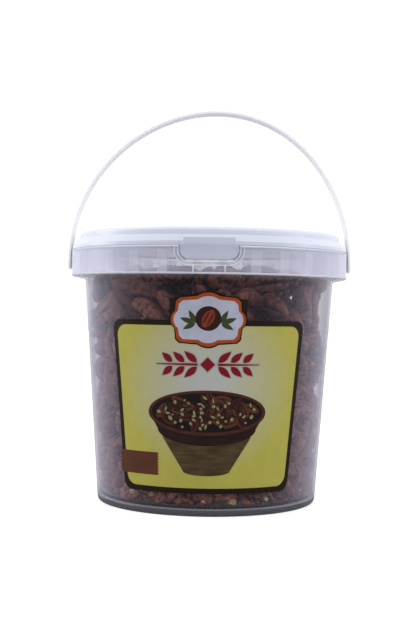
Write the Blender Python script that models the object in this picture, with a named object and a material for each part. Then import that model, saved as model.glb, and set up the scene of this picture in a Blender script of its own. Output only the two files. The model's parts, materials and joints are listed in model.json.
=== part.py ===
"""A round, see-through plastic tub of shelled pecan halves, with a press-on lid and a bail handle.

The tub stands on its foot ring. +Z is up, -Y is the front with the label and the pull tab, and
the origin is the centre of the foot ring on the ground. All lengths are in metres.
"""

import math

import bmesh
import bpy
import numpy as np
from mathutils import Matrix, Vector

MM = 0.001
TAU = 2.0 * math.pi

# Tub wall: a cone that widens upwards.
FOOT_RADIUS = 52.5 * MM
WALL_SLOPE = 0.0693
WALL = 1.0 * MM
FOOT_ROUND = 1.5 * MM
FOOT_INNER_RADIUS = 46.0 * MM
BASE_RECESS = 2.0 * MM
BASE_THICKNESS = 1.2 * MM

# Collar: the deep channel around the tub's mouth that hides the lid's edge.
COLLAR_RADIUS = 66.5 * MM
COLLAR_WALL = 1.2 * MM
COLLAR_JOIN_Z = 105.4 * MM
COLLAR_BOTTOM_Z = 107.3 * MM
COLLAR_TOP_Z = 119.7 * MM
RIM_TOP_Z = 120.6 * MM

# Stiffening pads inside the collar, every twelve degrees.
PAD_COUNT = 30
PAD_WIDTH = 4.0 * MM
PAD_DEPTH = 1.0 * MM
PAD_LOW_Z = 107.4 * MM
PAD_HIGH_Z = 117.6 * MM
SHORT_PAD_HIGH_Z = 110.8 * MM

# Thumb notch at the front of the collar, with its thick border.
NOTCH_HALF_WIDTH = 13.6 * MM
NOTCH_LOW_Z = 112.7 * MM
NOTCH_CORNER = 5.0 * MM
NOTCH_BORDER = 1.5 * MM
NOTCH_BORDER_FRONT = 1.6 * MM
NOTCH_DEPTH = 3.5 * MM

# Lid.
LID_SKIRT_RADIUS = 64.4 * MM
LID_SKIRT_LOW_Z = 118.9 * MM
LID_FLARE_RADIUS = 66.0 * MM
LID_FLARE_LOW_Z = 120.1 * MM
LID_FLARE_HIGH_Z = 121.9 * MM
LID_STEP_Z = 124.4 * MM
LID_BAND_RADIUS = 62.6 * MM
LID_TOP_Z = 128.0 * MM
LID_EDGE_ROUND = 1.8 * MM
LID_RIM_INNER_RADIUS = 59.2 * MM
LID_PANEL_Z = 125.2 * MM
LID_WALL = 1.0 * MM
TAB_HALF_WIDTH = 12.9 * MM
TAB_LOW_Z = 113.4 * MM
TAB_HIGH_Z = 121.0 * MM
TAB_CORNER = 4.5 * MM

# Bail handle, upright. It swings about the X axis through PIVOT_Z.
PIVOT_Z = 115.2 * MM
BAIL_HALF_SPAN = 68.2 * MM
BAIL_RISE = 72.7 * MM
BAIL_SHOULDER_POWER = 1.96
BAIL_LEAN = 3.2 * MM
BAIL_LEAN_POWER = 2.6
STRAP_THICKNESS = 1.2 * MM
STRAP_HALF_WIDTH = 4.6 * MM
STRAP_END_HALF_WIDTH = 1.2 * MM
PEG_RADIUS = 2.4 * MM
PEG_HEAD_RADIUS = 3.1 * MM
PEG_HEAD_THICKNESS = 0.8 * MM
PEG_TIP_X = 64.1 * MM
PEG_HOLE_RADIUS = 2.8 * MM

# Label, wrapped round the front of the wall.
LABEL_HALF_ANGLE = math.radians(45.3)
LABEL_FLARE = 0.069
LABEL_LOW_Z = 10.5 * MM
LABEL_HIGH_Z = 87.2 * MM
LABEL_CORNER = 4.5 * MM
CREST_HALF_WIDTH = 15.7 * MM
CREST_BULGE_TOP_Z = 100.0 * MM
CREST_SHOULDER_Z = 96.6 * MM
CREST_BULGE_HALF_WIDTH = 9.0 * MM
CREST_SIDE_STEP = 0.002
LABEL_THICKNESS = 0.12 * MM
TOUCH_GAP = 0.3 * MM

# Pecan halves.
NUT_LENGTH = 28.5 * MM
NUT_WIDTH = 15.5 * MM
NUT_THICKNESS = 8.0 * MM
NUT_CLEARANCE = 0.4 * MM
SIDE_NUTS = 40
TOP_NUTS = 14
SIDE_NUT_LOW_Z = 4.0 * MM
SIDE_NUT_HIGH_Z = 104.0 * MM
TOP_NUT_HIGH_Z = 113.0 * MM
HEAP_RADIUS = 32.5 * MM
HEAP_LOW_Z = 4.2 * MM
HEAP_HIGH_Z = 95.0 * MM
HEAP_LUMP = 1.5 * MM

ROUND_STEPS = 60
LABEL_STEPS = 52
BAIL_STEPS = 56
SEED = 11


def clear_scene():
    for old in list(bpy.data.objects):
        bpy.data.objects.remove(old, do_unlink=True)


def finish(name, color, roughness, alpha=1.0):
    material = bpy.data.materials.new(name)
    material.use_nodes = True
    shader = material.node_tree.nodes["Principled BSDF"]
    shader.inputs["Base Color"].default_value = (*color, 1.0)
    shader.inputs["Roughness"].default_value = roughness
    shader.inputs["Metallic"].default_value = 0.0
    shader.inputs["Alpha"].default_value = alpha
    return material


def object_from(name, bm, material):
    mesh = bpy.data.meshes.new(name)
    bm.to_mesh(mesh)
    bm.free()
    mesh.materials.append(material)
    mesh.shade_smooth()
    mesh.set_sharp_from_angle(angle=math.radians(35.0))
    piece = bpy.data.objects.new(name, mesh)
    bpy.context.scene.collection.objects.link(piece)
    return piece


def turned(profile):
    """A closed shape turned about Z from (radius, height) points in order round its section."""
    bm = bmesh.new()
    points = [bm.verts.new((radius, 0.0, height)) for radius, height in profile]
    ring = [bm.edges.new(pair) for pair in zip(points, points[1:])]
    if profile[0][0] > 0.0:
        ring.append(bm.edges.new((points[-1], points[0])))
    bmesh.ops.spin(bm, geom=points + ring, cent=(0, 0, 0), axis=(0, 0, 1), angle=TAU,
                   steps=ROUND_STEPS, use_merge=True)
    bmesh.ops.remove_doubles(bm, verts=bm.verts, dist=0.00001)
    bmesh.ops.recalc_face_normals(bm, faces=bm.faces)
    return bm


def arc(centre, radius, start, end, steps):
    """Points on a circle in the section plane, from one angle in degrees to another."""
    angles = [math.radians(start + (end - start) * i / steps) for i in range(steps + 1)]
    return [(centre[0] + radius * math.cos(a), centre[1] + radius * math.sin(a)) for a in angles]


def straight(height):
    return 1.0


def ring_panel(columns, low, high, inner, outer, flare=straight):
    """A panel bent round Z: columns are angles from the front, low and high give its edges."""
    bm = bmesh.new()
    sections = []
    for angle in columns:
        corners = []
        for height, radius in ((low(angle), outer), (high(angle), outer),
                               (high(angle), inner), (low(angle), inner)):
            reach = radius(height)
            turn = angle * flare(height)
            corners.append(bm.verts.new((reach * math.sin(turn), -reach * math.cos(turn), height)))
        sections.append(corners)
    for first, second in zip(sections, sections[1:]):
        for i in range(4):
            j = (i + 1) % 4
            bm.faces.new((first[i], second[i], second[j], first[j]))
    bm.faces.new(sections[0])
    bm.faces.new(reversed(sections[-1]))
    bmesh.ops.recalc_face_normals(bm, faces=bm.faces)
    return bm


def block(low, high, turn=0.0):
    """A box between two corners, turned about Z."""
    bm = bmesh.new()
    size = Vector(high) - Vector(low)
    centre = (Vector(high) + Vector(low)) / 2.0
    place = Matrix.Rotation(turn, 4, "Z") @ Matrix.Translation(centre) @ Matrix.Diagonal((*size, 1.0))
    bmesh.ops.create_cube(bm, size=1.0, matrix=place)
    return bm


def peg_along_x(radius, start, end, segments=24):
    """A round peg on the pivot axis between two X positions."""
    bm = bmesh.new()
    place = (Matrix.Translation(((start + end) / 2.0, 0.0, PIVOT_Z))
             @ Matrix.Rotation(math.radians(90.0), 4, "Y"))
    bmesh.ops.create_cone(bm, cap_ends=True, segments=segments, radius1=radius, radius2=radius,
                          depth=abs(end - start), matrix=place)
    return bm


def rounded_slot(half_width, low, high, corner, near_y, far_y):
    """A block along Y whose outline is a U: straight sides and two rounded lower corners."""
    outline = [(half_width, high)]
    outline += arc((half_width - corner, low + corner), corner, 0.0, -90.0, 6)
    outline += arc((corner - half_width, low + corner), corner, -90.0, -180.0, 6)
    outline += [(-half_width, high)]
    bm = bmesh.new()
    face = bm.faces.new([bm.verts.new((x, near_y, z)) for x, z in outline])
    grown = bmesh.ops.extrude_face_region(bm, geom=[face])
    moved = [item for item in grown["geom"] if isinstance(item, bmesh.types.BMVert)]
    bmesh.ops.translate(bm, verts=moved, vec=(0.0, far_y - near_y, 0.0))
    bmesh.ops.recalc_face_normals(bm, faces=bm.faces)
    return bm


def combine(target, bm, operation):
    """Joins a tool shape to a piece, or cuts it away, and keeps the result as the piece's mesh."""
    tool = object_from("tool", bm, target.data.materials[0])
    change = target.modifiers.new("combine", "BOOLEAN")
    change.operation = operation
    change.solver = "EXACT"
    change.object = tool
    bpy.context.view_layer.update()
    shape = target.evaluated_get(bpy.context.evaluated_depsgraph_get())
    mesh = bpy.data.meshes.new_from_object(shape)
    target.modifiers.remove(change)
    target.data = mesh
    bpy.data.objects.remove(tool, do_unlink=True)


def wall_radius(height):
    return FOOT_RADIUS + WALL_SLOPE * height


def inner_wall_radius(height):
    return wall_radius(height) - WALL


def tub_profile():
    floor_top = BASE_RECESS + BASE_THICKNESS
    foot = arc((FOOT_RADIUS - FOOT_ROUND, FOOT_ROUND), FOOT_ROUND, -90.0, 0.0, 3)
    collar_inner = COLLAR_RADIUS - COLLAR_WALL
    channel_floor = COLLAR_BOTTOM_Z + COLLAR_WALL
    return [
        (0.0, BASE_RECESS),
        (FOOT_INNER_RADIUS - 1.0 * MM, BASE_RECESS),
        (FOOT_INNER_RADIUS, 0.0),
        *foot,
        (wall_radius(COLLAR_JOIN_Z), COLLAR_JOIN_Z),
        (COLLAR_RADIUS - 1.0 * MM, COLLAR_BOTTOM_Z - 0.4 * MM),
        (COLLAR_RADIUS, COLLAR_BOTTOM_Z + 0.3 * MM),
        (COLLAR_RADIUS, COLLAR_TOP_Z),
        (collar_inner, COLLAR_TOP_Z),
        (collar_inner, channel_floor),
        (wall_radius(COLLAR_JOIN_Z) + 1.0 * MM, COLLAR_JOIN_Z + 1.4 * MM),
        (wall_radius(RIM_TOP_Z), RIM_TOP_Z - 1.0 * MM),
        (wall_radius(RIM_TOP_Z), RIM_TOP_Z),
        (inner_wall_radius(RIM_TOP_Z), RIM_TOP_Z),
        (inner_wall_radius(floor_top + FOOT_ROUND), floor_top + FOOT_ROUND),
        (inner_wall_radius(floor_top) - FOOT_ROUND, floor_top),
        (0.0, floor_top),
    ]


def add_collar_pads(tub):
    pitch = TAU / PAD_COUNT
    outer = COLLAR_RADIUS - COLLAR_WALL / 2.0
    inner = COLLAR_RADIUS - COLLAR_WALL - PAD_DEPTH
    for i in range(PAD_COUNT):
        from_front = (i + 0.5) * pitch
        side = math.degrees(from_front) % 180.0
        if abs(side - 90.0) < 1.0:
            continue
        at_notch = min(from_front, TAU - from_front) < pitch
        top = SHORT_PAD_HIGH_Z if at_notch else PAD_HIGH_Z
        width = PAD_WIDTH / 4.0 if at_notch else PAD_WIDTH
        pad = block((-width / 2.0, -outer, PAD_LOW_Z), (width / 2.0, -inner, top), from_front)
        combine(tub, pad, "UNION")


def make_tub():
    tub = object_from("tub", turned(tub_profile()), finish("tub plastic", (0.83, 0.85, 0.9), 0.3, 0.5))
    add_collar_pads(tub)
    notch_back = -COLLAR_RADIUS + NOTCH_DEPTH
    border = rounded_slot(NOTCH_HALF_WIDTH + NOTCH_BORDER, NOTCH_LOW_Z - NOTCH_BORDER,
                          COLLAR_TOP_Z - 0.2 * MM, NOTCH_CORNER + NOTCH_BORDER,
                          -COLLAR_RADIUS + NOTCH_BORDER_FRONT, notch_back)
    combine(tub, border, "UNION")
    notch = rounded_slot(NOTCH_HALF_WIDTH, NOTCH_LOW_Z, COLLAR_TOP_Z + 5.0 * MM, NOTCH_CORNER,
                         -COLLAR_RADIUS - 2.0 * MM, notch_back + 1.0 * MM)
    combine(tub, notch, "DIFFERENCE")
    for side in (-1, 1):
        hole = peg_along_x(PEG_HOLE_RADIUS, side * (COLLAR_RADIUS - 3.0 * MM),
                           side * (COLLAR_RADIUS + 2.0 * MM))
        combine(tub, hole, "DIFFERENCE")
    return tub


def lid_profile():
    round_centre = (LID_BAND_RADIUS - LID_EDGE_ROUND, LID_TOP_Z - LID_EDGE_ROUND)
    skirt_inner = LID_SKIRT_RADIUS - LID_WALL
    band_inner = LID_BAND_RADIUS - LID_WALL
    return [
        (0.0, LID_PANEL_Z - LID_WALL),
        (LID_RIM_INNER_RADIUS - LID_WALL - 0.6 * MM, LID_PANEL_Z - LID_WALL),
        (LID_RIM_INNER_RADIUS - LID_WALL, LID_PANEL_Z + 0.4 * MM),
        (LID_RIM_INNER_RADIUS - 0.4 * MM, LID_TOP_Z - 1.2 * MM),
        (band_inner - 0.4 * MM, LID_TOP_Z - 1.2 * MM),
        (band_inner, LID_STEP_Z - 0.4 * MM),
        (skirt_inner, LID_FLARE_HIGH_Z),
        (skirt_inner, LID_SKIRT_LOW_Z),
        (LID_SKIRT_RADIUS, LID_SKIRT_LOW_Z),
        (LID_SKIRT_RADIUS, LID_FLARE_LOW_Z),
        (LID_FLARE_RADIUS, LID_FLARE_LOW_Z),
        (LID_FLARE_RADIUS, LID_FLARE_HIGH_Z),
        (LID_BAND_RADIUS + 0.5 * MM, LID_STEP_Z),
        (LID_BAND_RADIUS, LID_STEP_Z + 0.3 * MM),
        *arc(round_centre, LID_EDGE_ROUND, 0.0, 90.0, 4),
        (LID_RIM_INNER_RADIUS, LID_TOP_Z),
        (LID_RIM_INNER_RADIUS - 0.6 * MM, LID_PANEL_Z),
        (0.0, LID_PANEL_Z),
    ]


def tab_low(angle):
    """Lower edge of the pull tab, with rounded corners."""
    across = abs(math.sin(angle)) * LID_FLARE_RADIUS
    into_corner = across - (TAB_HALF_WIDTH - TAB_CORNER)
    if into_corner <= 0.0:
        return TAB_LOW_Z
    return TAB_LOW_Z + TAB_CORNER - math.sqrt(max(TAB_CORNER**2 - into_corner**2, 0.0))


def tab_high(angle):
    """Upper edge of the pull tab, where it joins the lid's flare."""
    return TAB_HIGH_Z


def tab_back(height):
    return LID_SKIRT_RADIUS - 0.6 * MM


def tab_front(height):
    return LID_FLARE_RADIUS - 0.05 * MM


def make_lid():
    lid = object_from("lid", turned(lid_profile()), finish("lid plastic", (0.86, 0.88, 0.96), 0.3, 0.6))
    reach = math.asin(TAB_HALF_WIDTH / LID_FLARE_RADIUS)
    columns = [reach * math.sin(math.radians(90.0 * i / 8)) for i in range(-8, 9)]
    tab = ring_panel(columns, tab_low, tab_high, tab_back, tab_front)
    combine(lid, tab, "UNION")
    return lid


def strap_station(along):
    """Outer point and outward direction of the bail's strap in the XZ plane, along from 0 to pi."""
    rise = math.sin(along)
    reach = math.copysign(math.sqrt(max(1.0 - rise**BAIL_SHOULDER_POWER, 0.0)), math.cos(along))
    slope = BAIL_SHOULDER_POWER * rise ** (BAIL_SHOULDER_POWER - 1.0) / BAIL_RISE
    outward = Vector((2.0 * reach / BAIL_HALF_SPAN, 0.0, slope)).normalized()
    lean = BAIL_LEAN * rise**BAIL_LEAN_POWER
    return Vector((BAIL_HALF_SPAN * reach + lean, 0.0, PIVOT_Z + BAIL_RISE * rise)), outward


def strap_sections():
    """(outer point, outward direction, half width) from one rounded end of the strap to the other."""
    end_steps = 5
    ends = []
    for i in range(end_steps):
        lean = math.radians(80.0 * (1.0 - i / end_steps))
        drop = STRAP_HALF_WIDTH * math.sin(lean)
        half = max(STRAP_HALF_WIDTH * math.cos(lean), STRAP_END_HALF_WIDTH)
        ends.append((drop, half))
    right = [(Vector((BAIL_HALF_SPAN, 0.0, PIVOT_Z - drop)), Vector((1, 0, 0)), half)
             for drop, half in ends]
    left = [(Vector((-BAIL_HALF_SPAN, 0.0, PIVOT_Z - drop)), Vector((-1, 0, 0)), half)
            for drop, half in reversed(ends)]
    arch = [(*strap_station(math.pi * i / BAIL_STEPS), STRAP_HALF_WIDTH) for i in range(BAIL_STEPS + 1)]
    return right + arch + left


def strap():
    bm = bmesh.new()
    rings = []
    for point, outward, half in strap_sections():
        inner = point - outward * STRAP_THICKNESS
        across = Vector((0.0, half, 0.0))
        rings.append([bm.verts.new(p) for p in (point - across, point + across,
                                                inner + across, inner - across)])
    for first, second in zip(rings, rings[1:]):
        for i in range(4):
            j = (i + 1) % 4
            bm.faces.new((first[i], second[i], second[j], first[j]))
    bm.faces.new(rings[0])
    bm.faces.new(reversed(rings[-1]))
    bmesh.ops.recalc_face_normals(bm, faces=bm.faces)
    return bm


def make_bail_handle():
    bail = object_from("bail_handle", strap(), finish("handle plastic", (0.87, 0.88, 0.96), 0.3, 0.8))
    for side in (-1, 1):
        head_inside = side * (PEG_TIP_X + PEG_HEAD_THICKNESS)
        combine(bail, peg_along_x(PEG_RADIUS, head_inside - side * 0.3 * MM,
                                  side * (BAIL_HALF_SPAN - 0.5 * MM)), "UNION")
        combine(bail, peg_along_x(PEG_HEAD_RADIUS, side * PEG_TIP_X, head_inside), "UNION")
    pivot = Matrix.Translation((0.0, 0.0, PIVOT_Z))
    bail.data.transform(pivot.inverted())
    bail.matrix_world = pivot
    return bail


def label_low(angle):
    """Lower edge of the label, with its rounded corners."""
    into_corner = abs(angle) * FOOT_RADIUS - (LABEL_HALF_ANGLE * FOOT_RADIUS - LABEL_CORNER)
    rise = LABEL_CORNER - math.sqrt(max(LABEL_CORNER**2 - max(into_corner, 0.0) ** 2, 0.0))
    return LABEL_LOW_Z + min(rise, LABEL_CORNER)


def label_high(angle):
    """Upper edge of the label: a crest stands up in the middle."""
    across = abs(angle) * wall_radius(LABEL_HIGH_Z)
    if across <= CREST_BULGE_HALF_WIDTH:
        swell = math.sqrt(1.0 - (across / CREST_BULGE_HALF_WIDTH) ** 2)
        return CREST_SHOULDER_Z + (CREST_BULGE_TOP_Z - CREST_SHOULDER_Z) * swell
    if across <= CREST_HALF_WIDTH:
        return CREST_SHOULDER_Z
    return LABEL_HIGH_Z - (label_low(angle) - LABEL_LOW_Z)


def label_columns():
    """Angles from the front, close together at the crest's sides and at the corners."""
    even = [LABEL_HALF_ANGLE * (2.0 * i / LABEL_STEPS - 1.0) for i in range(LABEL_STEPS + 1)]
    step = CREST_HALF_WIDTH / wall_radius(LABEL_HIGH_Z)
    corners = [LABEL_HALF_ANGLE - LABEL_CORNER / FOOT_RADIUS * (1.0 - math.sin(math.radians(a)))
               for a in (0.0, 22.5, 45.0, 67.5)]
    extra = [step, step + CREST_SIDE_STEP] + corners
    return sorted(set(even + extra + [-a for a in extra]))


def label_back(height):
    return wall_radius(height) + TOUCH_GAP


def label_front(height):
    return label_back(height) + LABEL_THICKNESS


def label_flare(height):
    """How much wider than at half its height the label is here."""
    middle = (LABEL_LOW_Z + LABEL_HIGH_Z) / 2.0
    above = (min(height, LABEL_HIGH_Z) - middle) / (LABEL_HIGH_Z - LABEL_LOW_Z)
    return 1.0 + LABEL_FLARE * above


def make_label():
    shape = ring_panel(label_columns(), label_low, label_high, label_back, label_front, label_flare)
    return object_from("label", shape, finish("label print", (0.68, 0.62, 0.25), 0.4))


def nut_rings():
    """Along the nut: (place, size) of each cross-section, as shares of its length and of its girth."""
    return [(-0.39, 0.62), (-0.18, 0.95), (0.1, 1.0), (0.33, 0.78)]


def nut_section():
    """Across the nut: a flat cut face below, a domed back above, as shares of width and thickness."""
    return [(-0.4, 0.0), (0.4, 0.0), (0.5, 0.28), (0.34, 0.78), (0.0, 1.0), (-0.34, 0.78), (-0.5, 0.28)]


def nut_mesh():
    """One pecan half lying on its cut face, centred on the origin."""
    bm = bmesh.new()
    for place, size in nut_rings():
        for y, z in nut_section():
            height = (z * (0.35 + 0.65 * size) - 0.42) * NUT_THICKNESS
            bm.verts.new((place * NUT_LENGTH, y * NUT_WIDTH * size, height))
    for end in (-0.5, 0.5):
        bm.verts.new((end * NUT_LENGTH, 0.0, -0.2 * NUT_THICKNESS))
    bmesh.ops.convex_hull(bm, input=bm.verts)
    inside = [vert for vert in bm.verts if not vert.link_faces]
    bmesh.ops.delete(bm, geom=inside, context="VERTS")
    bmesh.ops.recalc_face_normals(bm, faces=bm.faces)
    return bm


def nut_shape():
    """The nut's points and face normals as arrays, for testing whether two nuts are apart."""
    bm = nut_mesh()
    bm.normal_update()
    points = np.array([tuple(vert.co) for vert in bm.verts])
    normals = np.array([tuple(face.normal) for face in bm.faces])
    bm.free()
    return points, normals


def apart(first, second):
    """True if a plane parallel to a face of either nut lies between them."""
    for normals in (first["normals"], second["normals"]):
        one = first["points"] @ normals.T
        two = second["points"] @ normals.T
        gaps = np.maximum(two.min(0) - one.max(0), one.min(0) - two.max(0))
        if gaps.max() > NUT_CLEARANCE:
            return True
    return False


def turn_matrix(rng, steepest):
    """A random turn whose long axis leans at most steepest from level."""
    heading = Matrix.Rotation(rng.uniform(0.0, TAU), 3, "Z")
    lean = Matrix.Rotation(rng.uniform(-steepest, steepest), 3, "Y")
    roll = Matrix.Rotation(rng.uniform(0.0, TAU), 3, "X")
    return np.array(heading @ lean @ roll)


def placed(shape, turn, centre):
    points, normals = shape
    return {"turn": turn, "centre": centre, "points": points @ turn.T + centre, "normals": normals @ turn.T}


def fits(nut, others):
    near = [o for o in others if np.linalg.norm(o["centre"] - nut["centre"]) < NUT_LENGTH + MM]
    return all(apart(nut, other) for other in near)


def side_nut(shape, rng):
    """A nut whose outermost point touches the inside of the wall, clear of the heap behind it."""
    turn = turn_matrix(rng, math.radians(60.0))
    angle = rng.uniform(0.0, TAU)
    outwards = np.array((math.cos(angle), math.sin(angle), 0.0))
    spun = shape[0] @ turn.T
    low = SIDE_NUT_LOW_Z - spun[:, 2].min()
    high = SIDE_NUT_HIGH_Z - spun[:, 2].max()
    centre = outwards * (HEAP_RADIUS + NUT_WIDTH / 2.0) + np.array((0.0, 0.0, rng.uniform(low, high)))
    for _ in range(4):
        points = spun + centre
        room = inner_wall_radius(points[:, 2]) - np.hypot(points[:, 0], points[:, 1])
        centre = centre + outwards * (room.min() - TOUCH_GAP)
    nut = placed(shape, turn, centre)
    edge_mid = (nut["points"][:, None] + nut["points"][None]) / 2.0
    reach = np.hypot(edge_mid[..., 0], edge_mid[..., 1]).min()
    return nut if reach > HEAP_RADIUS + HEAP_LUMP + NUT_CLEARANCE else None


def top_nut(shape, rng):
    """A nut lying on top of the heap."""
    turn = turn_matrix(rng, math.radians(25.0))
    angle = rng.uniform(0.0, TAU)
    out = (HEAP_RADIUS + NUT_WIDTH / 2.0) * math.sqrt(rng.uniform(0.0, 1.0))
    spun = shape[0] @ turn.T
    low = HEAP_HIGH_Z + HEAP_LUMP + NUT_CLEARANCE - spun[:, 2].min()
    high = TOP_NUT_HIGH_Z - spun[:, 2].max()
    centre = np.array((out * math.cos(angle), out * math.sin(angle), rng.uniform(low, max(low, high))))
    nut = placed(shape, turn, centre)
    room = inner_wall_radius(nut["points"][:, 2]) - np.hypot(nut["points"][:, 0], nut["points"][:, 1])
    return nut if room.min() > TOUCH_GAP and nut["points"][:, 2].max() <= TOP_NUT_HIGH_Z else None


def pour(kind, count, shape, rng, others):
    """Tries places one after the other and keeps those that are clear, until there are enough."""
    kept = []
    while len(kept) < count:
        nut = kind(shape, rng)
        if nut is not None and fits(nut, others + kept):
            kept.append(nut)
    return kept


def make_nuts():
    rng = np.random.default_rng(SEED)
    shape = nut_shape()
    brown = finish("pecan skin", (0.17, 0.075, 0.04), 0.55)
    top = pour(top_nut, TOP_NUTS, shape, rng, [])
    side = pour(side_nut, SIDE_NUTS, shape, rng, top)
    for label, nuts in (("top", top), ("side", side)):
        for i, nut in enumerate(nuts, start=1):
            piece = object_from(f"pecan_half_{label}_{i:02d}", nut_mesh(), brown)
            piece.matrix_world = Matrix.LocRotScale(Vector(nut["centre"]), Matrix(nut["turn"]), None)


def make_heap():
    """The pecan halves in the middle of the tub, as one lumpy solid."""
    rows = [(0.0, HEAP_LOW_Z), (HEAP_RADIUS - 3.0 * MM, HEAP_LOW_Z)]
    steps = 9
    for i in range(steps + 1):
        height = HEAP_LOW_Z + 3.0 * MM + (HEAP_HIGH_Z - HEAP_LOW_Z - 6.0 * MM) * i / steps
        rows.append((HEAP_RADIUS, height))
    rows += [(HEAP_RADIUS - 3.0 * MM, HEAP_HIGH_Z), (0.0, HEAP_HIGH_Z)]
    bm = turned(rows)
    for vert in bm.verts:
        angle = math.atan2(vert.co.y, vert.co.x)
        lump = HEAP_LUMP * math.sin(7.0 * angle + 260.0 * vert.co.z) * math.cos(5.0 * angle)
        reach = math.hypot(vert.co.x, vert.co.y)
        if reach > MM:
            vert.co.x *= (reach + lump) / reach
            vert.co.y *= (reach + lump) / reach
    return object_from("pecan_heap_middle", bm, finish("pecan skin inside", (0.13, 0.06, 0.035), 0.6))


clear_scene()
make_tub()
make_lid()
make_bail_handle()
make_label()
make_heap()
make_nuts()
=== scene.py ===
"""The looks of a see-through plastic tub of shelled pecan halves, built round its CAD frame.

Laid out as a Blender add-on: every piece has an operator, the sizes and colours a user would change
are properties, and one panel in the 3D view's sidebar lists them. Run as a script, it makes the
whole tub. Lengths are in metres, +Z is up, and -Y is the front with the label and the pull tab.
"""

import json
import math

import bpy
import numpy as np
from bpy.props import FloatProperty, FloatVectorProperty, IntProperty, PointerProperty
from mathutils import Matrix, Vector, noise


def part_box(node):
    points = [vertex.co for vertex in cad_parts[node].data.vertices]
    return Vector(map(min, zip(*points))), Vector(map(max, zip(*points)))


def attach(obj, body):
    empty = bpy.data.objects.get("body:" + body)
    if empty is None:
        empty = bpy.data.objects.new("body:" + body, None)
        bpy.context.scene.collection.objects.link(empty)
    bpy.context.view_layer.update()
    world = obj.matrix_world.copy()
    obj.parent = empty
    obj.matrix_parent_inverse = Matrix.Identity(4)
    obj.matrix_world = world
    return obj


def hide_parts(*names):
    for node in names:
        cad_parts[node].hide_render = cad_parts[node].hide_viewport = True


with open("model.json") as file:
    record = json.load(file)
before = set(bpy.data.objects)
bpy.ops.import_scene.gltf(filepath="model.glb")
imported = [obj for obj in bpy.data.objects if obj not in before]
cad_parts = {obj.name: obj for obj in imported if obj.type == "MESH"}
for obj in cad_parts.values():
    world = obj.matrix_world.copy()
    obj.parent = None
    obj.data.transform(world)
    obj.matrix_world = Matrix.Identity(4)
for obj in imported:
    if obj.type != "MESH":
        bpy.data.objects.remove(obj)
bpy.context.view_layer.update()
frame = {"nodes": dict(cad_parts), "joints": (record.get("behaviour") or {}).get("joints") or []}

bl_info = {
    "name": "Tub of Shelled Pecans",
    "version": (1, 0, 0),
    "blender": (4, 5, 0),
    "location": "View3D > Sidebar > Pecan Tub",
    "description": "Builds the plastic tub, its lid, handle, label and pecan halves piece by piece",
    "category": "Object",
}

MM = 0.001
TAU = 2.0 * math.pi
TUB_BODY = "tub_body"
HANDLE_BODY = "handle_body"

# Places read from the frame.
TUB_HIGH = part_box("tub")[1]
BAIL_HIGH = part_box("bail_handle")[1]
HINGE = Vector(frame["joints"][0]["pos_m"])
COLLAR_RADIUS = TUB_HIGH.x
RIM_TOP = TUB_HIGH.z
LID_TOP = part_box("lid")[1].z

# The tub's wall, as the CAD has it: a cone that widens upwards.
FOOT_RADIUS = 52.5 * MM
WALL_SLOPE = 0.0693
WALL = 1.0 * MM
COLLAR_TOP = RIM_TOP - 0.9 * MM
COLLAR_LOW = COLLAR_TOP - 12.4 * MM
COLLAR_JOIN = COLLAR_LOW - 1.9 * MM
FLOOR_TOP = 3.2 * MM

SIDE_NODES = sorted(name for name in frame["nodes"] if name.startswith("pecan_half_side"))
TOP_NODES = sorted(name for name in frame["nodes"] if name.startswith("pecan_half_top"))
HEAP_NODE = "pecan_heap_middle"


# --- Sizes and colours a user would change ---------------------------------------------------------


def tint(name, description, *rgb):
    return FloatVectorProperty(name=name, description=description, subtype="COLOR", default=rgb)


def fraction(name, description, default):
    return FloatProperty(
        name=name, description=description, subtype="FACTOR", default=default, min=0.0, max=1.0)


def measure(name, description, default):
    return FloatProperty(
        name=name, description=description, subtype="DISTANCE", unit="LENGTH", default=default)


def angle(name, description, degrees):
    return FloatProperty(
        name=name, description=description, subtype="ANGLE", unit="ROTATION",
        default=math.radians(degrees))


def amount(name, description, default, low, high):
    return FloatProperty(name=name, description=description, default=default, min=low, max=high)


def number(name, description, default, low, high):
    return IntProperty(name=name, description=description, default=default, min=low, max=high)


class TubLook(bpy.types.PropertyGroup):
    wall_tint: tint("Wall Tint", "Colour of the tub's plastic", 0.46, 0.45, 0.57)
    wall_haze: fraction("Wall Haze", "How milky one skin of the tub's wall is", 0.02)
    edge_haze: fraction("Edge Haze", "How milky one skin of the tub's wall is seen edge-on", 0.85)
    # The foot's dark smoky colour is painted shade: the shade at the bottom of the tub and the dark halves
    # behind the foot, laid on as a near-opaque skin.
    foot_shade_tint: tint("Foot Shade Tint", "Smoky colour that the foot takes from what stands in it",
                    0.045, 0.043, 0.066)
    collar_haze: fraction("Collar Haze", "How milky one skin of the tub's collar is", 0.26)
    pad_haze: fraction("Pad Haze", "How milky the collar is where a pad stiffens it", 0.42)
    rib_haze: fraction("Rib Haze", "How milky the collar's ribs and lips are", 0.75)
    lid_tint: tint("Lid Tint", "Colour of the lid's plastic", 0.80, 0.83, 1.0)
    collar_tint: tint("Collar Tint", "Colour of the collar's skirt", 0.67, 0.67, 0.84)
    # The colour of the lips, ribs and flange is lighter than the collar's: painted highlight along the lips
    # and ribs, and painted light on the flange's underside.
    painted_light_tint: tint("Painted Light Tint", "Colour of the collar's thick edges", 0.82, 0.83, 0.96)
    lid_haze: fraction("Lid Haze", "How milky one skin of the lid is", 0.5)
    handle_tint: tint("Handle Tint", "Colour of the handle's plastic", 0.95, 0.97, 1.0)
    handle_haze: fraction("Handle Haze", "How milky one skin of the handle is", 1.0)
    segments: number("Segments", "Sides of each turned piece", 180, 48, 360)


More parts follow.
